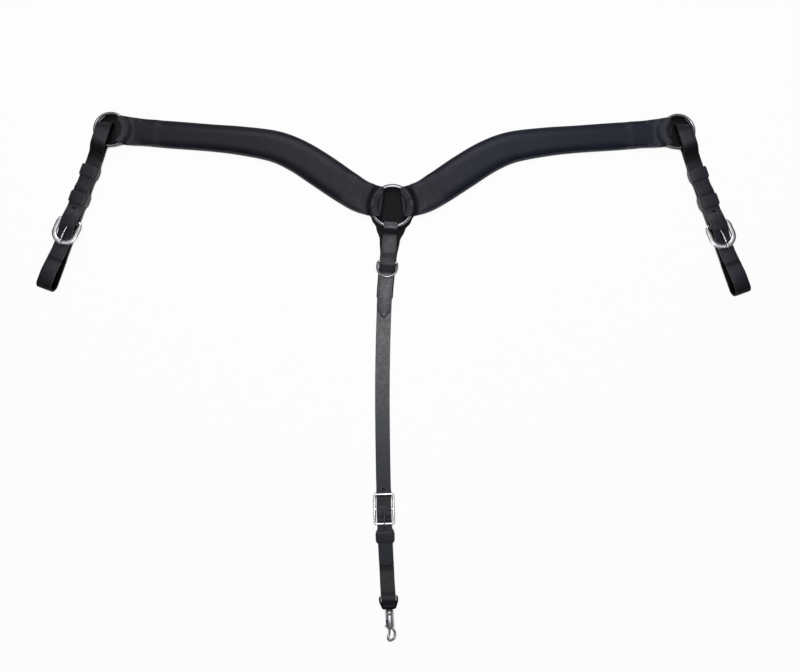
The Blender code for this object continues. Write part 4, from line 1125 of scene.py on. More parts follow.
# %% Shape the face leather
def face_height(side, fold, widths, ground, distance, column):
    """The middle of the leather above the floor, for a place on the front."""
    inner_r = ground.xy.length
    outer_r = from_outer_ring(side, ground)
    near = min(distance, fold - distance)
    middle = smooth_step((near - RETURN_TAIL - 4 * MM) / MIDDLE_BLEND)
    height = OVER_TAIL + (RETURN_MID - OVER_TAIL) * middle
    rise = TAIL_RISE + (PANEL_RISE - TAIL_RISE) * middle
    half = value_at(widths, distance)
    inset = (1 - abs(column)) * half
    puff = min(max((inset - SEAM_INSET) / (half * PAD_SHOULDER), 0.0), 1.0)
    clear_of_inner = smooth_step((inner_r - PAD_FROM_INNER) / (13 * MM))
    ends = clear_of_inner * smooth_step((outer_r - PAD_FROM_OUTER) / (6 * MM))
    height += rise * (1 - (1 - puff) ** PAD_ROUNDNESS) * ends
    height -= SEAM_GROOVE * bell(inset - SEAM_INSET, GROOVE_WIDTH) * min(1.0, near / (20 * MM))
    past_inner = inner_r - CENTRE_RING_RADIUS
    past_outer = outer_r - OUTER_RING_RADIUS
    if past_inner < 0:
        lip = (INNER_TOP - FOLD_DROP - INNER_DIP) * bell(max(distance - LIP_PLACE, 0), LIP_WIDTH)
        height = INNER_DIP + max(lip, (INNER_TOP - INNER_DIP) * bell(past_inner, INNER_HANG))
    elif past_inner < DRAPE_REACH:
        height = max(height, OVER_TAIL + (INNER_TOP - OVER_TAIL) * bell(past_inner, INNER_DRAPE))
    if past_outer < 0:
        height = OUTER_TOP - FOLD_DROP * smooth_step(-past_outer / (14 * MM))
    elif past_outer < DRAPE_REACH:
        height = max(height, OUTER_FOOT + (OUTER_TOP - OUTER_FOOT) * bell(past_outer, OUTER_DRAPE))
    if past_outer < HINGE_REACH:
        past_hinge = side * (ground.x - side * RING_REACH) + OUTER_RING_RADIUS
        height += TIP_SLOPE * max(past_hinge, 0.0)
    return height


def shape_face(side, word):
    line, widths = breast_line(side)
    fold = line.lengths[-1] - END_INSET
    turn = FACE_THICK / 2
    inner, outer = INNER_TOP - FOLD_DROP, OUTER_TOP - FOLD_DROP
    inner_bend, outer_bend = (inner - RETURN_MID) / 2, (outer - RETURN_MID) / 2
    ramp = RETURN_TAIL + 20 * MM
    path = fold_path([
        (RETURN_TAIL, RETURN_MID, 0), (turn, RETURN_MID, inner_bend), (turn, inner, inner_bend),
        (24 * MM, inner, 8 * MM), (38 * MM, OVER_TAIL, 8 * MM),
        (ramp - 14 * MM, OVER_TAIL, 14 * MM), (ramp, RETURN_MID, 20 * MM),
        (fold - ramp, RETURN_MID, 20 * MM), (fold - ramp + 14 * MM, OVER_TAIL, 14 * MM),
        (fold - 34 * MM, OVER_TAIL, 8 * MM), (fold - 20 * MM, outer, 8 * MM),
        (fold - turn, outer, outer_bend), (fold - turn, RETURN_MID, outer_bend),
        (fold - RETURN_TAIL, RETURN_MID, 0)], 3 * MM)

    def spread(distance, run, total, column):
        """The panel flares before its outer fold, which is cut narrow to let the ring tip."""
        near = smooth_step(1 - distance / (60 * MM))
        top = smooth_step((run - RETURN_TAIL) / (14 * MM))
        left = fold - distance
        flare = smooth_step((60 * MM - left) / (45 * MM)) * smooth_step((left - MM) / (7 * MM))
        half = value_at(widths, distance)
        half += (2 * MM * near * top + 2.2 * MM * flare
                 - 1.2 * MM * smooth_step(1 - left / (8 * MM)))
        return -side * column * value_at(widths, 0) * FOLD_TURN * near, half * column

    def lift(ground, distance, column, facing, run):
        height = face_height(side, fold, widths, ground, distance, column)
        return (height - ground.z) * smooth_step((facing - 0.6) / 0.4)

    face, spot, _ = leather_strip(
        word + "_breast_leather", line, path, spread, FACE_THICK, FACE_COLUMNS, lift,
        (PANEL_LEATHER, FLESH_SIDE, EDGE_DRESSING))

    def bands(co, table):
        """Bands of the front layer round a ring: amount, ring, radius and width in mm."""
        far = {"inner": co.xy.length, "outer": from_outer_ring(side, co)}
        return max(amount * bell(far[ring] - radius * MM, width * MM)
                   for amount, ring, radius, width in table) if co.z >= OVER_TAIL else 0.0

    # Painted shade in the valleys behind the wire, and a painted highlight on the lips over it.
    paint(face, "painted_shade", lambda co: bands(co, VALLEY_SHADE))
    paint(face, "wear_and_sheen", lambda co: bands(co, LIP_HIGHLIGHTS))
    hand_in(face, word + "_breast", "glazed_bridle_leather", word + "_breast_face")
    return fold, widths, path, spot


panels = {word: shape_face(side, word) for side, word in SIDES}

# %% [markdown]
# Two long rows hold each panel's rim, 3.6 mm in from the edge, and short rows cross it
# where the folds are sewn down: one behind each ring. The rows follow the strip by its own
# runs and columns, so they lie on the leather wherever it goes.

# %% Sew the panels
END_ROW = 23 * MM
INNER_ROW = 58 * MM


def front_run(path, distance):
    """How far along the strip the front layer comes to a distance."""
    for run, first, second in zip(running(path), path, path[1:]):
        if first.x < second.x and first.x <= distance <= second.x:
            return run + (second - first).length * (distance - first.x) / (second.x - first.x)
    raise ValueError("the strip's front doesn't reach that far")


for word, (fold, widths, path, spot) in panels.items():
    def rim(run):
        return 1 - SEAM_INSET / half_width(spot, run)

    start, end = front_run(path, 5 * MM), front_run(path, fold - 4 * MM)
    seams = [seam_along(spot, start, end, rim), seam_along(spot, start, end, lambda run: -rim(run))]
    for place in (INNER_ROW, fold - END_ROW):
        run = front_run(path, place)
        seams.append(seam_across(spot, run, -rim(run), rim(run), value_at(widths, place)))
    sew(word + "_breast_thread", seams, word + "_breast", "glazed_bridle_leather")

# %% [markdown]
# ## Linings and pads
# The lining is plainer, softer leather that lies on the horse, and it ends in a round tab
# behind each outer ring. The felt pad is cut narrower than the panel and skived at its
# edges, so it's a low crowned form with a flat back. It is hidden when the collar is
# whole, but it's still a piece of its own.

# %% Cut the linings
TAB_RADIUS = 28 * MM
LINING_START = 27 * MM
LINING_EDGE = 0.5 * MM
LINING_COLUMNS = mirrored(0.6, 0.92, 1)
LINING_LOOKS = (LINING_LEATHER, LINING_LEATHER, EDGE_DRESSING)
lining_mid = LINING_THICK / 2


def cut_lining(side, word):
    line, widths = breast_line(side)
    ring_at = line.lengths[-1]

    def spread(distance, run, total, column):
        body = value_at(widths, distance) if distance < ring_at else 0
        past = distance - ring_at
        tab = math.sqrt(max(TAB_RADIUS ** 2 - past ** 2, (0.12 * TAB_RADIUS) ** 2))
        return 0.0, column * (max(body, tab) if abs(past) < TAB_RADIUS else body)

    steps = [ring_at + TAB_RADIUS * math.sin(math.radians(angle)) for angle in range(-72, 91, 6)]
    path = fold_path([(LINING_START, lining_mid, 0), (steps[0], lining_mid, 0)], 6 * MM)
    path += [Vector((along, lining_mid)) for along in steps[1:]]
    lining, _, _ = leather_strip(word + "_lining_leather", line, path, spread, LINING_THICK,
                                 LINING_COLUMNS, level, LINING_LOOKS, edge=LINING_EDGE)
    hand_in(lining, word + "_breast", "plain_lining_leather", word + "_breast_lining")


for side, word in SIDES:
    cut_lining(side, word)

# %% Crown the felt pads
PAD_ROWS = 72


def crown_pad(side, word):
    line, widths = breast_line(side)
    start = RETURN_TAIL + 12 * MM
    end = line.lengths[-1] - END_INSET - start
    spots = [start + (end - start) * k / (PAD_ROWS - 1) for k in range(PAD_ROWS)]
    points = [Vector((*line.at(spot)[0], BACK_BASE + 0.1 * MM)) for spot in spots]

    def section(i):
        ends = smooth_step((min(i, PAD_ROWS - 1 - i) + 1) / 5)
        return value_at(widths, spots[i]) * (0.45 + 0.22 * ends), 0.8 * MM + 2.5 * MM * ends

    pad = bar_along(word + "_felt_pad", points, section, FELT, sides=28, power=0.9)
    for vert in pad.data.vertices:
        vert.co.z = max(vert.co.z, BACK_BASE)
    hand_in(pad, word + "_breast", "felt_padding", word + "_breast_padding")


for side, word in SIDES:
    crown_pad(side, word)

# %% [markdown]
# ## Middle strap
# The middle strap folds round the centre ring. Its short pointed end is stitched down in
# front, over the dee, and its long end runs down to the double-bar buckle. A leather safe
# behind the ring keeps the metal off the horse and narrows into the strap's backing.

# %% Measures of the middle strap
CENTRE_LINE = Line([(x * MM, y * MM) for x, y in (
    (0, 0), (-5.3, -76), (-12.3, -160), (-15, -300), (-12.8, -450), (-8.8, -560), (-4.4, -640),
    (-1.8, -676))])
SAFE_RADIUS = 40 * MM
SAFE_HALF_WIDTHS = [(along * MM, half * MM) for along, half in (
    (14, 37.5), (24, 34.3), (38, 25.2), (59, 17.5), (86, 14.6), (158, 14.3))]
DEE_PLACE = 97 * MM
DEE_WIDTH = 38.5 * MM
DEE_DEPTH = 24 * MM
DEE_BOW = DEE_DEPTH + 3 * MM
DEE_SHOWN = 26 * MM
DEE_WIRE = 4.2 * MM
FRONT_TIP = 193 * MM
FRONT_POINT = 14 * MM
BUCKLE_PLACE = 525 * MM
BUCKLE_WIDTH = 37.5 * MM
BUCKLE_HEIGHT = 54.5 * MM
BUCKLE_WIRE = 4.5 * MM
CENTRE_TONGUE_WIRE = 2.4 * MM
CENTRE_HOLE_PITCH = 32.5 * MM
CENTRE_KEEPER = BUCKLE_PLACE + 48.5 * MM
STRAP_END = CENTRE_KEEPER + 48.5 * MM
EYE_PLACE = STRAP_END + 54 * MM
EYE_HEIGHT = 9.8 * MM
EYE_WIRE = 3.5 * MM

over_ring = CENTRE_RING_HEIGHT + CENTRE_WIRE / 2 + RING_PLAY + skin
dee_height = STRAP_BACK + skin + FIT + DEE_WIRE / 2
over_dee = dee_height + DEE_WIRE / 2 + FIT + skin
snap_low = KEEPER_THICK + FIT + SNAP_THICK / 2
snap_high = snap_low + SNAP_THICK + FIT
main_lap = snap_high + SNAP_THICK / 2 + FIT + skin
bar = BUCKLE_WIRE / 2
top_bar = STRAP_THICK + FIT + bar
bottom_bar = main_lap + skin + FIT + bar
bar_height = (top_bar + bottom_bar) / 2
half_height = BUCKLE_HEIGHT / 2 - bar
buckle_tilt = math.asin((bottom_bar - top_bar) / 2 / half_height)
chape_bend = bar + FIT + SNAP_THICK / 2
over_bar = bar_height + chape_bend + SNAP_THICK / 2 + FIT + skin
tongue_room = CENTRE_TONGUE_WIRE + 2 * SIDE_PLAY + 0.4 * MM
print("heights over ring, dee and bar:",
      [round(v / MM, 1) for v in (over_ring, over_dee, over_bar)], "mm")


def centre_place(distance, height=0.0):
    """The frame of a spot on the middle strap: y up the strap and z up."""
    place, heading = CENTRE_LINE.at(distance)
    return (Matrix.Translation((place.x, place.y, height))
            @ Matrix.Rotation(math.atan2(heading.x, -heading.y), 4, "Z"))


# %% Lay the middle strap
PINCH = mm_table((48, 0.935), (66, 1.0))
LOWER_PART = 400 * MM
MIDDLE_PAINTED_SHADE = mm_table(
    (25, 0.5), (29, 0.0), (43, 0.0), (48, 0.9), (53, 0.25), (60, 0.15), (78, 0.2), (83, 0.75),
    (88, 0.4), (112, 0.4), (120, 0.0), (497, 0.0), (503, 0.5), (522, 0.6), (527, 0.0), (622, 0.0))
ramp = SAFE_HALF_WIDTHS[-1][0] + 2 * MM
ring_bend = (over_ring - STRAP_BACK) / 2
ring_turn = 25 * MM + skin
past_ring = CENTRE_RING_RADIUS + CENTRE_WIRE / 2
corners = [
    (FRONT_TIP, skin + LAYER_STEP, 0), (ramp + 26 * MM, skin + LAYER_STEP, 30 * MM),
    (ramp - 6 * MM, layer_one, 30 * MM), (DEE_PLACE + 19 * MM, layer_one, 12 * MM),
    (DEE_PLACE + 4 * MM, over_dee, 8 * MM), (DEE_PLACE - 4 * MM, over_dee, 5 * MM),
    (DEE_PLACE - 12 * MM, layer_one, 5 * MM), (past_ring + 10 * MM, layer_one, 5 * MM),
    (past_ring + 1.5 * MM, over_ring, 6 * MM), (ring_turn, over_ring, ring_bend),
    (ring_turn, STRAP_BACK, ring_bend), (ramp - 6 * MM, STRAP_BACK, 30 * MM),
    (ramp + 26 * MM, skin, 30 * MM), (BUCKLE_PLACE - 22 * MM, skin, 8 * MM),
    (BUCKLE_PLACE - 4 * MM, over_bar, 5 * MM), (BUCKLE_PLACE + 9.5 * MM, over_bar, 5 * MM),
    (BUCKLE_PLACE + 21.2 * MM, main_lap, 6 * MM), (STRAP_END - 10 * MM, main_lap, 0)]
path = [Vector((STRAP_END - d * MM, main_lap)) for d in (0, 0.6, 1.5, 2.8, 4.5, 6.8)]
path += fold_path(corners[::-1], 4 * MM)
lay_flat = strap_spread(round_start=10 * MM, point=FRONT_POINT)


def middle_spread(distance, run, total, column):
    """The strap is pinched a little where it goes round the ring."""
    shift, across = lay_flat(distance, run, total, column)
    return shift, across * value_at(PINCH, distance)


def crowned(ground, distance, column, facing, run):
    return CROWN * (1 - column ** 2) * turned_up(facing)


def middle_painted_shade(co):
    """Painted shade on the front layer's creases and slopes and, lower down, the whole strap's."""
    on_front = co.z > layer_one - MM or -co.y > LOWER_PART
    return value_at(MIDDLE_PAINTED_SHADE, -co.y) if on_front else 0.0


strap, strap_spot, strap_run = leather_strip(
    "middle_strap_leather", CENTRE_LINE, path, middle_spread, STRAP_THICK,
    [-1, -0.92, -0.75, -0.5, -0.2, 0.2, 0.5, 0.75, 0.92, 1], crowned,
    (STRAP_LEATHER, STRAP_LEATHER, EDGE_DRESSING))
# Painted shade at the pinch, the dee and the buckle; a painted highlight just past the buckle's
# bar.
paint(strap, "painted_shade", middle_painted_shade)
paint(strap, "wear_and_sheen", lambda co: bell(BUCKLE_PLACE + 12 * MM + co.y, 6 * MM))
punch(strap, centre_place(BUCKLE_PLACE + 8.5 * MM), 15 * MM, tongue_room, bar_height,
      over_bar + 3 * MM)
for step, height in ((-1, skin), (1, main_lap)):
    punch_round(strap, centre_place(BUCKLE_PLACE + step * CENTRE_HOLE_PITCH), height)
hand_in(strap, "middle_strap", "waxed_strap_leather", "centre_strap")

# %% Sew the middle strap
SEAM_COLUMN = 0.76
pinch = past_ring + 12 * MM


def tail_run(distance):
    return strap_run - (FRONT_TIP - distance)


seams = [seam_along(strap_spot, tail_run(pinch), strap_run - 4 * MM, column)
         for column in (-SEAM_COLUMN, SEAM_COLUMN)]
seams += [seam_across(strap_spot, tail_run(distance), -SEAM_COLUMN, SEAM_COLUMN, STRAP_WIDTH / 2)
          for distance in (pinch, DEE_PLACE - 13 * MM, DEE_PLACE + 13 * MM)]
sew("middle_strap_thread", seams, "middle_strap", "waxed_strap_leather")

# %% Cut the leather safe
def safe_spread(distance, run, total, column):
    if distance < SAFE_HALF_WIDTHS[0][0]:
        least = 0.1 * SAFE_RADIUS
        return 0.0, column * math.sqrt(max(SAFE_RADIUS ** 2 - distance ** 2, least ** 2))
    return 0.0, column * value_at(SAFE_HALF_WIDTHS, distance)


path = [Vector((SAFE_RADIUS * math.sin(math.radians(angle)), lining_mid))
        for angle in range(-90, 19, 6)]
path += fold_path([(16 * MM, lining_mid, 0), (SAFE_HALF_WIDTHS[-1][0], lining_mid, 0)], 4 * MM)
safe, safe_spot, safe_run = leather_strip(
    "ring_safe_leather", CENTRE_LINE, path, safe_spread, LINING_THICK, LINING_COLUMNS, level,
    LINING_LOOKS, edge=LINING_EDGE)
hand_in(safe, "middle_strap", "plain_lining_leather", "ring_backer")


def safe_rim(run):
    return max(1 - 3.5 * MM / half_width(safe_spot, run), 0.2)


sew("ring_safe_thread", [
    seam_along(safe_spot, 4 * MM, safe_run - 30 * MM, column)
    for column in (lambda run: -safe_rim(run), safe_rim)], "middle_strap", "plain_lining_leather")

# %% [markdown]
# The snap strap is one thin strip. It folds round the buckle's middle bar and round the
# snap's eye, and its two ends meet inside, under the lap of the middle strap.

# %% Lay the snap strap and wrap the middle keeper
eye_bend = EYE_WIRE / 2 + FIT + SNAP_THICK / 2
fold_at = EYE_PLACE + 21.4 * MM
fold_bend = 1.9 * MM
fold_height = 3.4 * MM
seam_at = BUCKLE_PLACE + 32 * MM
UPPER_WIDTHS = [(EYE_PLACE + 9 * MM, STRAP_WIDTH), (EYE_PLACE + 16 * MM, 21 * MM),
                (fold_at, 20 * MM)]
LOWER_WIDTHS = [(EYE_PLACE + 15 * MM, STRAP_WIDTH), (fold_at, 20 * MM)]


def snap_spread(distance, run, total, column):
    """The upper layer narrows to pass between the sides of the eye; the lower one runs under."""
    table = UPPER_WIDTHS if run < fold_at - seam_at else LOWER_WIDTHS
    return 0.0, column * value_at(table, distance) / 2


corners = [
    (seam_at - 0.7 * MM, snap_high, 0), (BUCKLE_PLACE + 18 * MM, snap_high, 8 * MM),
    (BUCKLE_PLACE + 2 * MM, bar_height + chape_bend, 4 * MM),
    (BUCKLE_PLACE - chape_bend, bar_height + chape_bend, chape_bend),
    (BUCKLE_PLACE - chape_bend, bar_height - chape_bend, chape_bend),
    (BUCKLE_PLACE + 7 * MM, bar_height - chape_bend, 10 * MM),
    (BUCKLE_PLACE + 20 * MM, snap_low, 20 * MM), (EYE_PLACE - 46 * MM, snap_low, 30 * MM),
    (EYE_PLACE - 18 * MM, EYE_HEIGHT - eye_bend, 20 * MM),
    (EYE_PLACE + 3 * MM, EYE_HEIGHT - eye_bend, 20 * MM),
    (fold_at, fold_height - fold_bend, 1.4 * MM), (fold_at, fold_height + fold_bend, 1.8 * MM),
    (EYE_PLACE + 17 * MM, fold_height + fold_bend, 6 * MM),
    (EYE_PLACE + 3.5 * MM, EYE_HEIGHT + eye_bend, 5 * MM),
    (EYE_PLACE - 8 * MM, EYE_HEIGHT + eye_bend, 20 * MM),
    (EYE_PLACE - 44 * MM, snap_high, 30 * MM), (seam_at + 0.7 * MM, snap_high, 0)]
chape, _, _ = leather_strip(
    "snap_strap_leather", CENTRE_LINE, fold_path(corners[::-1], 4 * MM), snap_spread, SNAP_THICK,
    mirrored(0.4, 0.75, 0.92, 1), level, (CHAPE_LEATHER, FLESH_SIDE, EDGE_DRESSING))
# Paler where the strap folds over the eye's bar: wear there, and a painted highlight.
paint(chape, "wear_and_sheen", lambda co: 0.9 * bell(EYE_PLACE + MM + co.y, 5 * MM))
punch(chape, centre_place(BUCKLE_PLACE + 1.5 * MM), 17 * MM, tongue_room, snap_low, over_bar - skin)
hand_in(chape, "middle_strap", "waxed_strap_leather", "snap_strap")
wrap_keeper("middle_keeper_loop", main_lap + skin + FIT, KEEPER_THICK, "middle_keeper",
            centre_place(CENTRE_KEEPER), "centre_keeper", bulge=1.8 * MM)

# %% [markdown]
# ## Dee, buckle and tongue of the middle strap
# The dee is bent wire, welded shut. The double-bar buckle is cast: a frame with rounded
# corners and a bar across its middle, which is joined to it with a Boolean.

# %% Bend the dee
half = (DEE_WIDTH - DEE_WIRE) / 2
points = [Vector((spot.x, spot.y * DEE_SHOWN / DEE_BOW))
          for spot in horseshoe(half, 3 * MM, half - DEE_BOW)]
dee = bar_along("strap_dee_wire", points, DEE_WIRE / 2, SHADED_PLATED_WIRE, closed=True)
rest = layer_one + skin + FIT + DEE_WIRE / 2 + 0.8 * MM
dee.matrix_world = (centre_place(DEE_PLACE, dee_height)
                    @ Matrix.Rotation(-math.asin((rest - dee_height) / DEE_DEPTH), 4, "X"))
hand_in(dee, "dee", "nickel_plated_wire", "strap_dee")

# %% Cast the double-bar buckle
BAR_SQUARENESS = 0.9
wide = BUCKLE_WIDTH / 2 - bar
corners = [(-wide, -half_height, 3 * MM), (wide, -half_height, 3 * MM), (wide, half_height, 3 * MM),
           (-wide, half_height, 3 * MM)]
buckle = bar_along("double_bar_buckle", fold_path(corners, 3 * MM, closed=True)[:-1], bar,
                   PLATED_CASTING, closed=True, power=BAR_SQUARENESS)
crossbar = bar_along("crossbar", [Vector((x * wide, 0)) for x in (-1, -0.5, 0, 0.5, 1)], bar,
                     PLATED_CASTING, power=BAR_SQUARENESS)
cut_or_join(buckle, crossbar, "UNION")
place = centre_place(BUCKLE_PLACE, bar_height)
buckle.matrix_world = place @ Matrix.Rotation(-buckle_tilt, 4, "X")
hand_in(buckle, "middle_strap", "nickel_plated_casting", "centre_buckle")

wrap = bar + FIT + CENTRE_TONGUE_WIRE / 2
tip = bottom_bar - bar_height + wrap
reach = half_height * math.cos(buckle_tilt)
tongue = bent_tongue("middle_tongue_wire", bar, CENTRE_TONGUE_WIRE, [
    (8 * MM, wrap, 8 * MM), (reach, tip + 0.1 * MM, 10 * MM), (reach + 3 * MM, tip + 0.6 * MM, 0)])
# Painted shade: the whole tongue is darkened, as it lies in the buckle's shadow.
paint(tongue, "plate_shade", lambda co: 0.85)
tongue.matrix_world = place
hand_in(tongue, "middle_tongue", "nickel_plated_casting", "centre_tongue")

# %% [markdown]
# ## Swivel snap
# The snap is a casting in three parts: an eye whose stem turns in the barrel, the barrel
# with its open hook, and a bolt that a spring holds against the hook's tip. The thumb
# knob stands out of a slot in the barrel.

# %% Measures of the snap
SNAP_ROLL = math.radians(40)
EYE_WIDTH = 33.6 * MM
EYE_DEPTH = 21.5 * MM
STEM_RADIUS = 2.5 * MM
HEAD_RADIUS = 4.1 * MM
HEAD_TOP = 28.1 * MM
HEAD_BOTTOM = 31.7 * MM
BARREL_TOP = 24.6 * MM
BARREL_BOTTOM = 56.4 * MM
BARREL_RADIUS = 7.6 * MM
HOOK_WIRE = 5.2 * MM
HOOK_BOTTOM = 76.4 * MM
BOLT_OFFSET = -2.6 * MM
BOLT_RADIUS = 2.2 * MM
BOLT_TOP = 47.0 * MM
BOLT_END = 63.5 * MM
BOLT_TRAVEL = 8.0 * MM
BORE_TOP = 35.4 * MM
KNOB_PLACE = 49.4 * MM
KNOB_RADIUS = 2.4 * MM
SPRING_WIRE = 0.8 * MM
SPRING_TURNS = 5
TURN_STEPS = 18
LATHE_STEPS = 32
snap_place = centre_place(EYE_PLACE, EYE_HEIGHT)
swivel_place = snap_place @ Matrix.Rotation(SNAP_ROLL, 4, "Y")
print("the snap hangs", round(snap_place.translation.y / MM), "mm below the centre ring")


def stepped(distance, radius, *steps):
    """A stretch of a lathe profile, from steps of (distance, radius) in mm."""
    return [(distance + along * MM, radius + out * MM) for along, out in steps]


def turned(name, profile, x=0.0):
    """A lathe-turned part round the snap's axis, from (distance, radius), moved sideways by x."""
    turns = [math.tau * k / LATHE_STEPS for k in range(LATHE_STEPS)]
    rows = [[Vector((radius * math.cos(turn), -distance, radius * math.sin(turn)))
             for turn in [*turns, turns[0]]] for distance, radius in profile]
    piece = rolled(name, rows, TUMBLED_CASTING)
    piece.location.x = x
    activate(piece)
    bpy.ops.object.transform_apply(location=True, rotation=False, scale=False)
    return piece


# %% Cast the eye
wire = EYE_WIRE / 2
half = EYE_WIDTH / 2 - wire
corners = [(-half, 0, 2.5 * MM), (-half, -9 * MM, 6 * MM), (-10.5 * MM, -EYE_DEPTH, 3 * MM),
           (10.5 * MM, -EYE_DEPTH, 3 * MM), (half, -9 * MM, 6 * MM), (half, 0, 2.5 * MM)]
eye = bar_along("snap_eye_casting", fold_path(corners, 2 * MM, closed=True)[:-1], wire,
                TUMBLED_CASTING, closed=True)
stem = turned("eye_stem", [
    (EYE_DEPTH - 1 * MM, 0), *stepped(EYE_DEPTH, STEM_RADIUS, (-1, 0.8), (1.2, 0.5), (1.8, 0)),
    (HEAD_TOP, STEM_RADIUS), (HEAD_TOP, HEAD_RADIUS),
    *stepped(HEAD_BOTTOM, HEAD_RADIUS, (-0.6, 0), (0, -0.7)), (HEAD_BOTTOM, 0)])
cut_or_join(eye, stem, "UNION")
# Painted shade: the eye's D goes near black below its top bar, under the strap's fold.
paint(eye, "plate_shade", lambda co: smooth_step((-co.y - 0.5 * MM) / (2 * MM))
      * (1 - smooth_step((-co.y - EYE_DEPTH - 1.2 * MM) / (1.2 * MM))))
eye.matrix_world = snap_place
hand_in(eye, "eye", "nickel_plated_casting", "snap_eye")

# %% Cast the barrel and hook
barrel = turned("snap_barrel", [
    (BARREL_TOP, 0),
    *stepped(BARREL_TOP, BARREL_RADIUS, (0, -1.6), (0.5, -0.7), (1.6, 0), (5, 0), (5.8, -0.6),
             (7.2, -0.6), (8, -0.1)),
    *stepped(BARREL_BOTTOM, BARREL_RADIUS, (-4, -0.2), (-1, -0.7), (-0.2, -1.4), (0, -2.2)),
    (BARREL_BOTTOM, 0)])
hook_line = fold_path([
    (3.8 * MM, -(BARREL_BOTTOM - 4 * MM), 0), (4.0 * MM, -(BARREL_BOTTOM + 1 * MM), 5 * MM),
    (9.0 * MM, -(BARREL_BOTTOM + 8 * MM), 5 * MM), (8.0 * MM, -HOOK_BOTTOM, 6.0 * MM),
    (-6.4 * MM, -HOOK_BOTTOM, 5.0 * MM), (-6.4 * MM, -(BOLT_END + 5 * MM), 3 * MM),
    (BOLT_OFFSET - 1.0 * MM, -(BOLT_END + 1.9 * MM), 0)], 1.5 * MM)
cut_or_join(barrel, bar_along("snap_hook", hook_line, HOOK_WIRE / 2, TUMBLED_CASTING), "UNION")


def bore(name, top, bottom, radius, x=0.0):
    """A cutter for a round hole along the snap's axis."""
    return turned(name, [(top, 0), (top, radius), (bottom, radius), (bottom, 0)], x)


slot_reach = KNOB_RADIUS + SIDE_PLAY
slot_top, slot_bottom = KNOB_PLACE - BOLT_TRAVEL - slot_reach, KNOB_PLACE + slot_reach
neck = bore("neck_bore", BARREL_TOP - MM, HEAD_TOP, STEM_RADIUS + SIDE_PLAY)
socket = bore("head_socket", HEAD_TOP - SIDE_PLAY, HEAD_BOTTOM + SIDE_PLAY, HEAD_RADIUS + SIDE_PLAY)
bolt_bore = bore("bolt_bore", BORE_TOP, BARREL_BOTTOM + MM, BOLT_RADIUS + FIT, BOLT_OFFSET)
deselect()
bpy.ops.mesh.primitive_cube_add(
    size=1, location=(BOLT_OFFSET - BARREL_RADIUS / 2, -(slot_top + slot_bottom) / 2, 0),
    scale=(BARREL_RADIUS, slot_bottom - slot_top, 2 * slot_reach))
bpy.ops.object.transform_apply(location=True, rotation=True, scale=True)
for cutter in (neck, socket, bolt_bore, bpy.context.object):
    cut_or_join(barrel, cutter, "DIFFERENCE")
barrel.matrix_world = swivel_place
hand_in(barrel, "hook", "nickel_plated_casting", "snap_body")

# %% Turn the bolt and wind the spring
bolt = turned("snap_bolt_pin", [
    (BOLT_TOP, 0), (BOLT_TOP, BOLT_RADIUS),
    *stepped(BOLT_END, BOLT_RADIUS, (-1.2, 0), (-0.4, -0.5), (0, -1.2)), (BOLT_END, 0)],
    BOLT_OFFSET)
knob_points = [Vector((x, -KNOB_PLACE))
               for x in (BOLT_OFFSET - 1 * MM, -6.0 * MM, -8.6 * MM, -9.6 * MM)]
knob_sizes = (1.9 * MM, 1.9 * MM, KNOB_RADIUS, KNOB_RADIUS - 0.4 * MM)
knob = bar_along("bolt_knob", knob_points, lambda i: (knob_sizes[i], knob_sizes[i]),
                 TUMBLED_CASTING)
cut_or_join(bolt, knob, "UNION")
bolt.matrix_world = swivel_place
hand_in(bolt, "bolt", "nickel_plated_casting", "snap_bolt")

coil = BOLT_RADIUS - SPRING_WIRE / 2 - 0.1 * MM
low = BORE_TOP + FIT + SPRING_WIRE / 2
high = BOLT_TOP - FIT - SPRING_WIRE / 2
steps = SPRING_TURNS * TURN_STEPS
turns = [math.tau * k / TURN_STEPS for k in range(steps + 1)]
helix = [Vector((BOLT_OFFSET + coil * math.cos(turn), -(low + (high - low) * k / steps),
                 coil * math.sin(turn))) for k, turn in enumerate(turns)]
spring = bar_along("snap_spring_wire", helix, SPRING_WIRE / 2, SPRING_STEEL, Vector((0, -1, 0)),
                   sides=8)
spring.matrix_world = swivel_place
settle(spring)
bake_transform(spring)
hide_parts("snap_spring")
print(spring.name, "shortens between hook and bolt:", len(spring.data.polygons), "faces")

# %% [markdown]
# ## Floor and light
# The photograph is a cut-out on white. The floor shows white to the camera and to the
# metal through Light Path, but lights the leather only as a pale floor would, and keeps a
# soft shadow. A soft box straight above gives the smooth strap its sheen, a second one models
# the folds, and the sky is bright above and dark round the horizon, so that the plate gets
# white tops and dark sides. An Ambient Occlusion node paints shade on the floor: near black
# in the holes and at tight contact.

# %% Lay the floor
FLOOR_SIZE = 8
FLOOR_MIDDLE = -0.25
FLOOR_DROP = 0.4 * MM
FLOOR_GLOW = 0.94
CORNER_REACH = 8 * MM
CORNER_DARK = 0.40
CORNER_OPEN = 0.54

deselect()
bpy.ops.mesh.primitive_plane_add(size=FLOOR_SIZE, location=(0, FLOOR_MIDDLE, -FLOOR_DROP))
floor = named("studio_floor")
floor_look, tree, shader = new_material("white_paper_floor")
seen = add_node(tree, "LightPath", "Is Camera Ray")
rays = seen.node.outputs
for ray in ("Is Glossy Ray", "Is Transmission Ray"):
    seen = maths(tree, "MAXIMUM", seen, rays[ray])
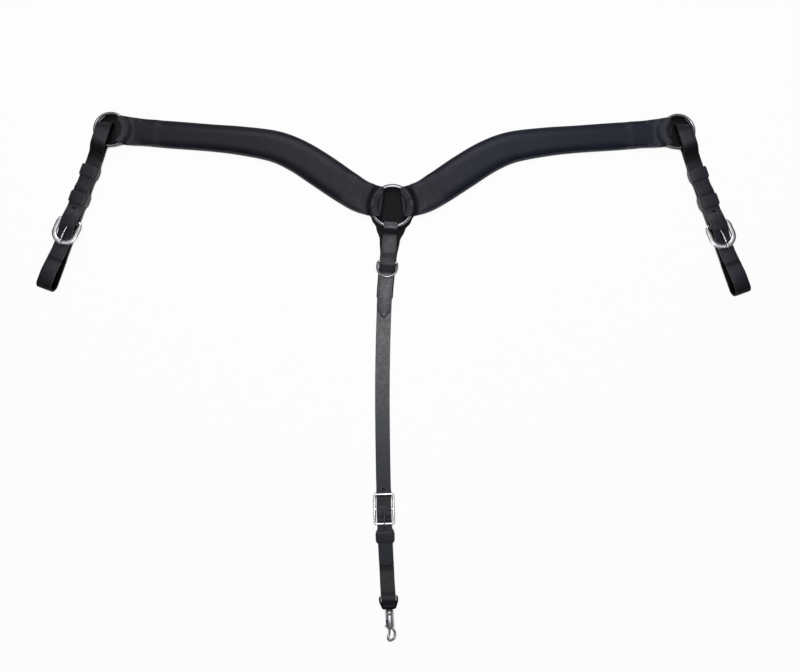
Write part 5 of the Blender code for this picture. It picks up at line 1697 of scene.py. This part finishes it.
# Painted shade: where the floor is hemmed in, its colour goes near black and its white glow fades.
corner = add_node(tree, "AmbientOcclusion", "AO", {"Distance": CORNER_REACH}, samples=16)
open_floor = between(tree, corner, CORNER_DARK, CORNER_OPEN, 0, 1)
glow = between(tree, corner, CORNER_DARK, CORNER_OPEN, 0, FLOOR_GLOW)
feed(tree, shader, {"Base Color": mixed(tree, open_floor, "#1a1a1a", "#fafafa"),
                    "Roughness": 1.0, "Specular IOR Level": 0.0})
white = add_node(tree, "Emission", 0, {"Color": "#ffffff", "Strength": 1.0})
surface = add_node(tree, "MixShader", 0, {
    0: maths(tree, "MULTIPLY", seen, glow), 1: shader.outputs[0], 2: white})
feed(tree, tree.nodes["Material Output"], {"Surface": surface})
floor.data.materials.append(floor_look)
print("the floor is", FLOOR_SIZE, "m wide")

# %% Light the studio
SKY_TOP = (-0.06, 0.22, 0.972)
SKY_DARK = 0.12
SKY_BELOW = 0.8

world = bpy.data.worlds.new("studio_world")
bpy.context.scene.world = world
world.use_nodes = True
tree = world.node_tree
direction = add_node(tree, "TexCoord", "Generated")
upness = add_node(tree, "SeparateXYZ", "Z", {"Vector": direction})
near_top = add_node(tree, "VectorMath", "Value", {0: direction, 1: SKY_TOP},
                    operation="DOT_PRODUCT")
brightness = maths(tree, "MAXIMUM", between(tree, near_top, 0.83, 0.94, SKY_DARK, 1.0),
                   between(tree, upness, -0.02, 0.02, SKY_BELOW, 0))
grey = add_node(tree, "CombineColor", "Color", dict.fromkeys(("Red", "Green", "Blue"), brightness))
feed(tree, tree.nodes["Background"], {"Color": grey, "Strength": 1.0})


def soft_box(name, place, size, watts, aim=(0, -0.15, 0)):
    lamp_data = bpy.data.lights.new(name, "AREA")
    lamp_data.shape = "SQUARE"
    lamp_data.size = size
    lamp_data.energy = watts
    lamp = bpy.data.objects.new(name, lamp_data)
    lamp.location = place
    lamp.rotation_euler = (Vector(aim) - lamp.location).to_track_quat("-Z", "Y").to_euler()
    bpy.context.scene.collection.objects.link(lamp)
    print(name, "at", place, "with", watts, "W")


soft_box("overhead_box", (-0.05, -0.14, 2.2), 0.65, 10)
soft_box("key_box", (-0.1, 1.5, 1.6), 1.3, 17)
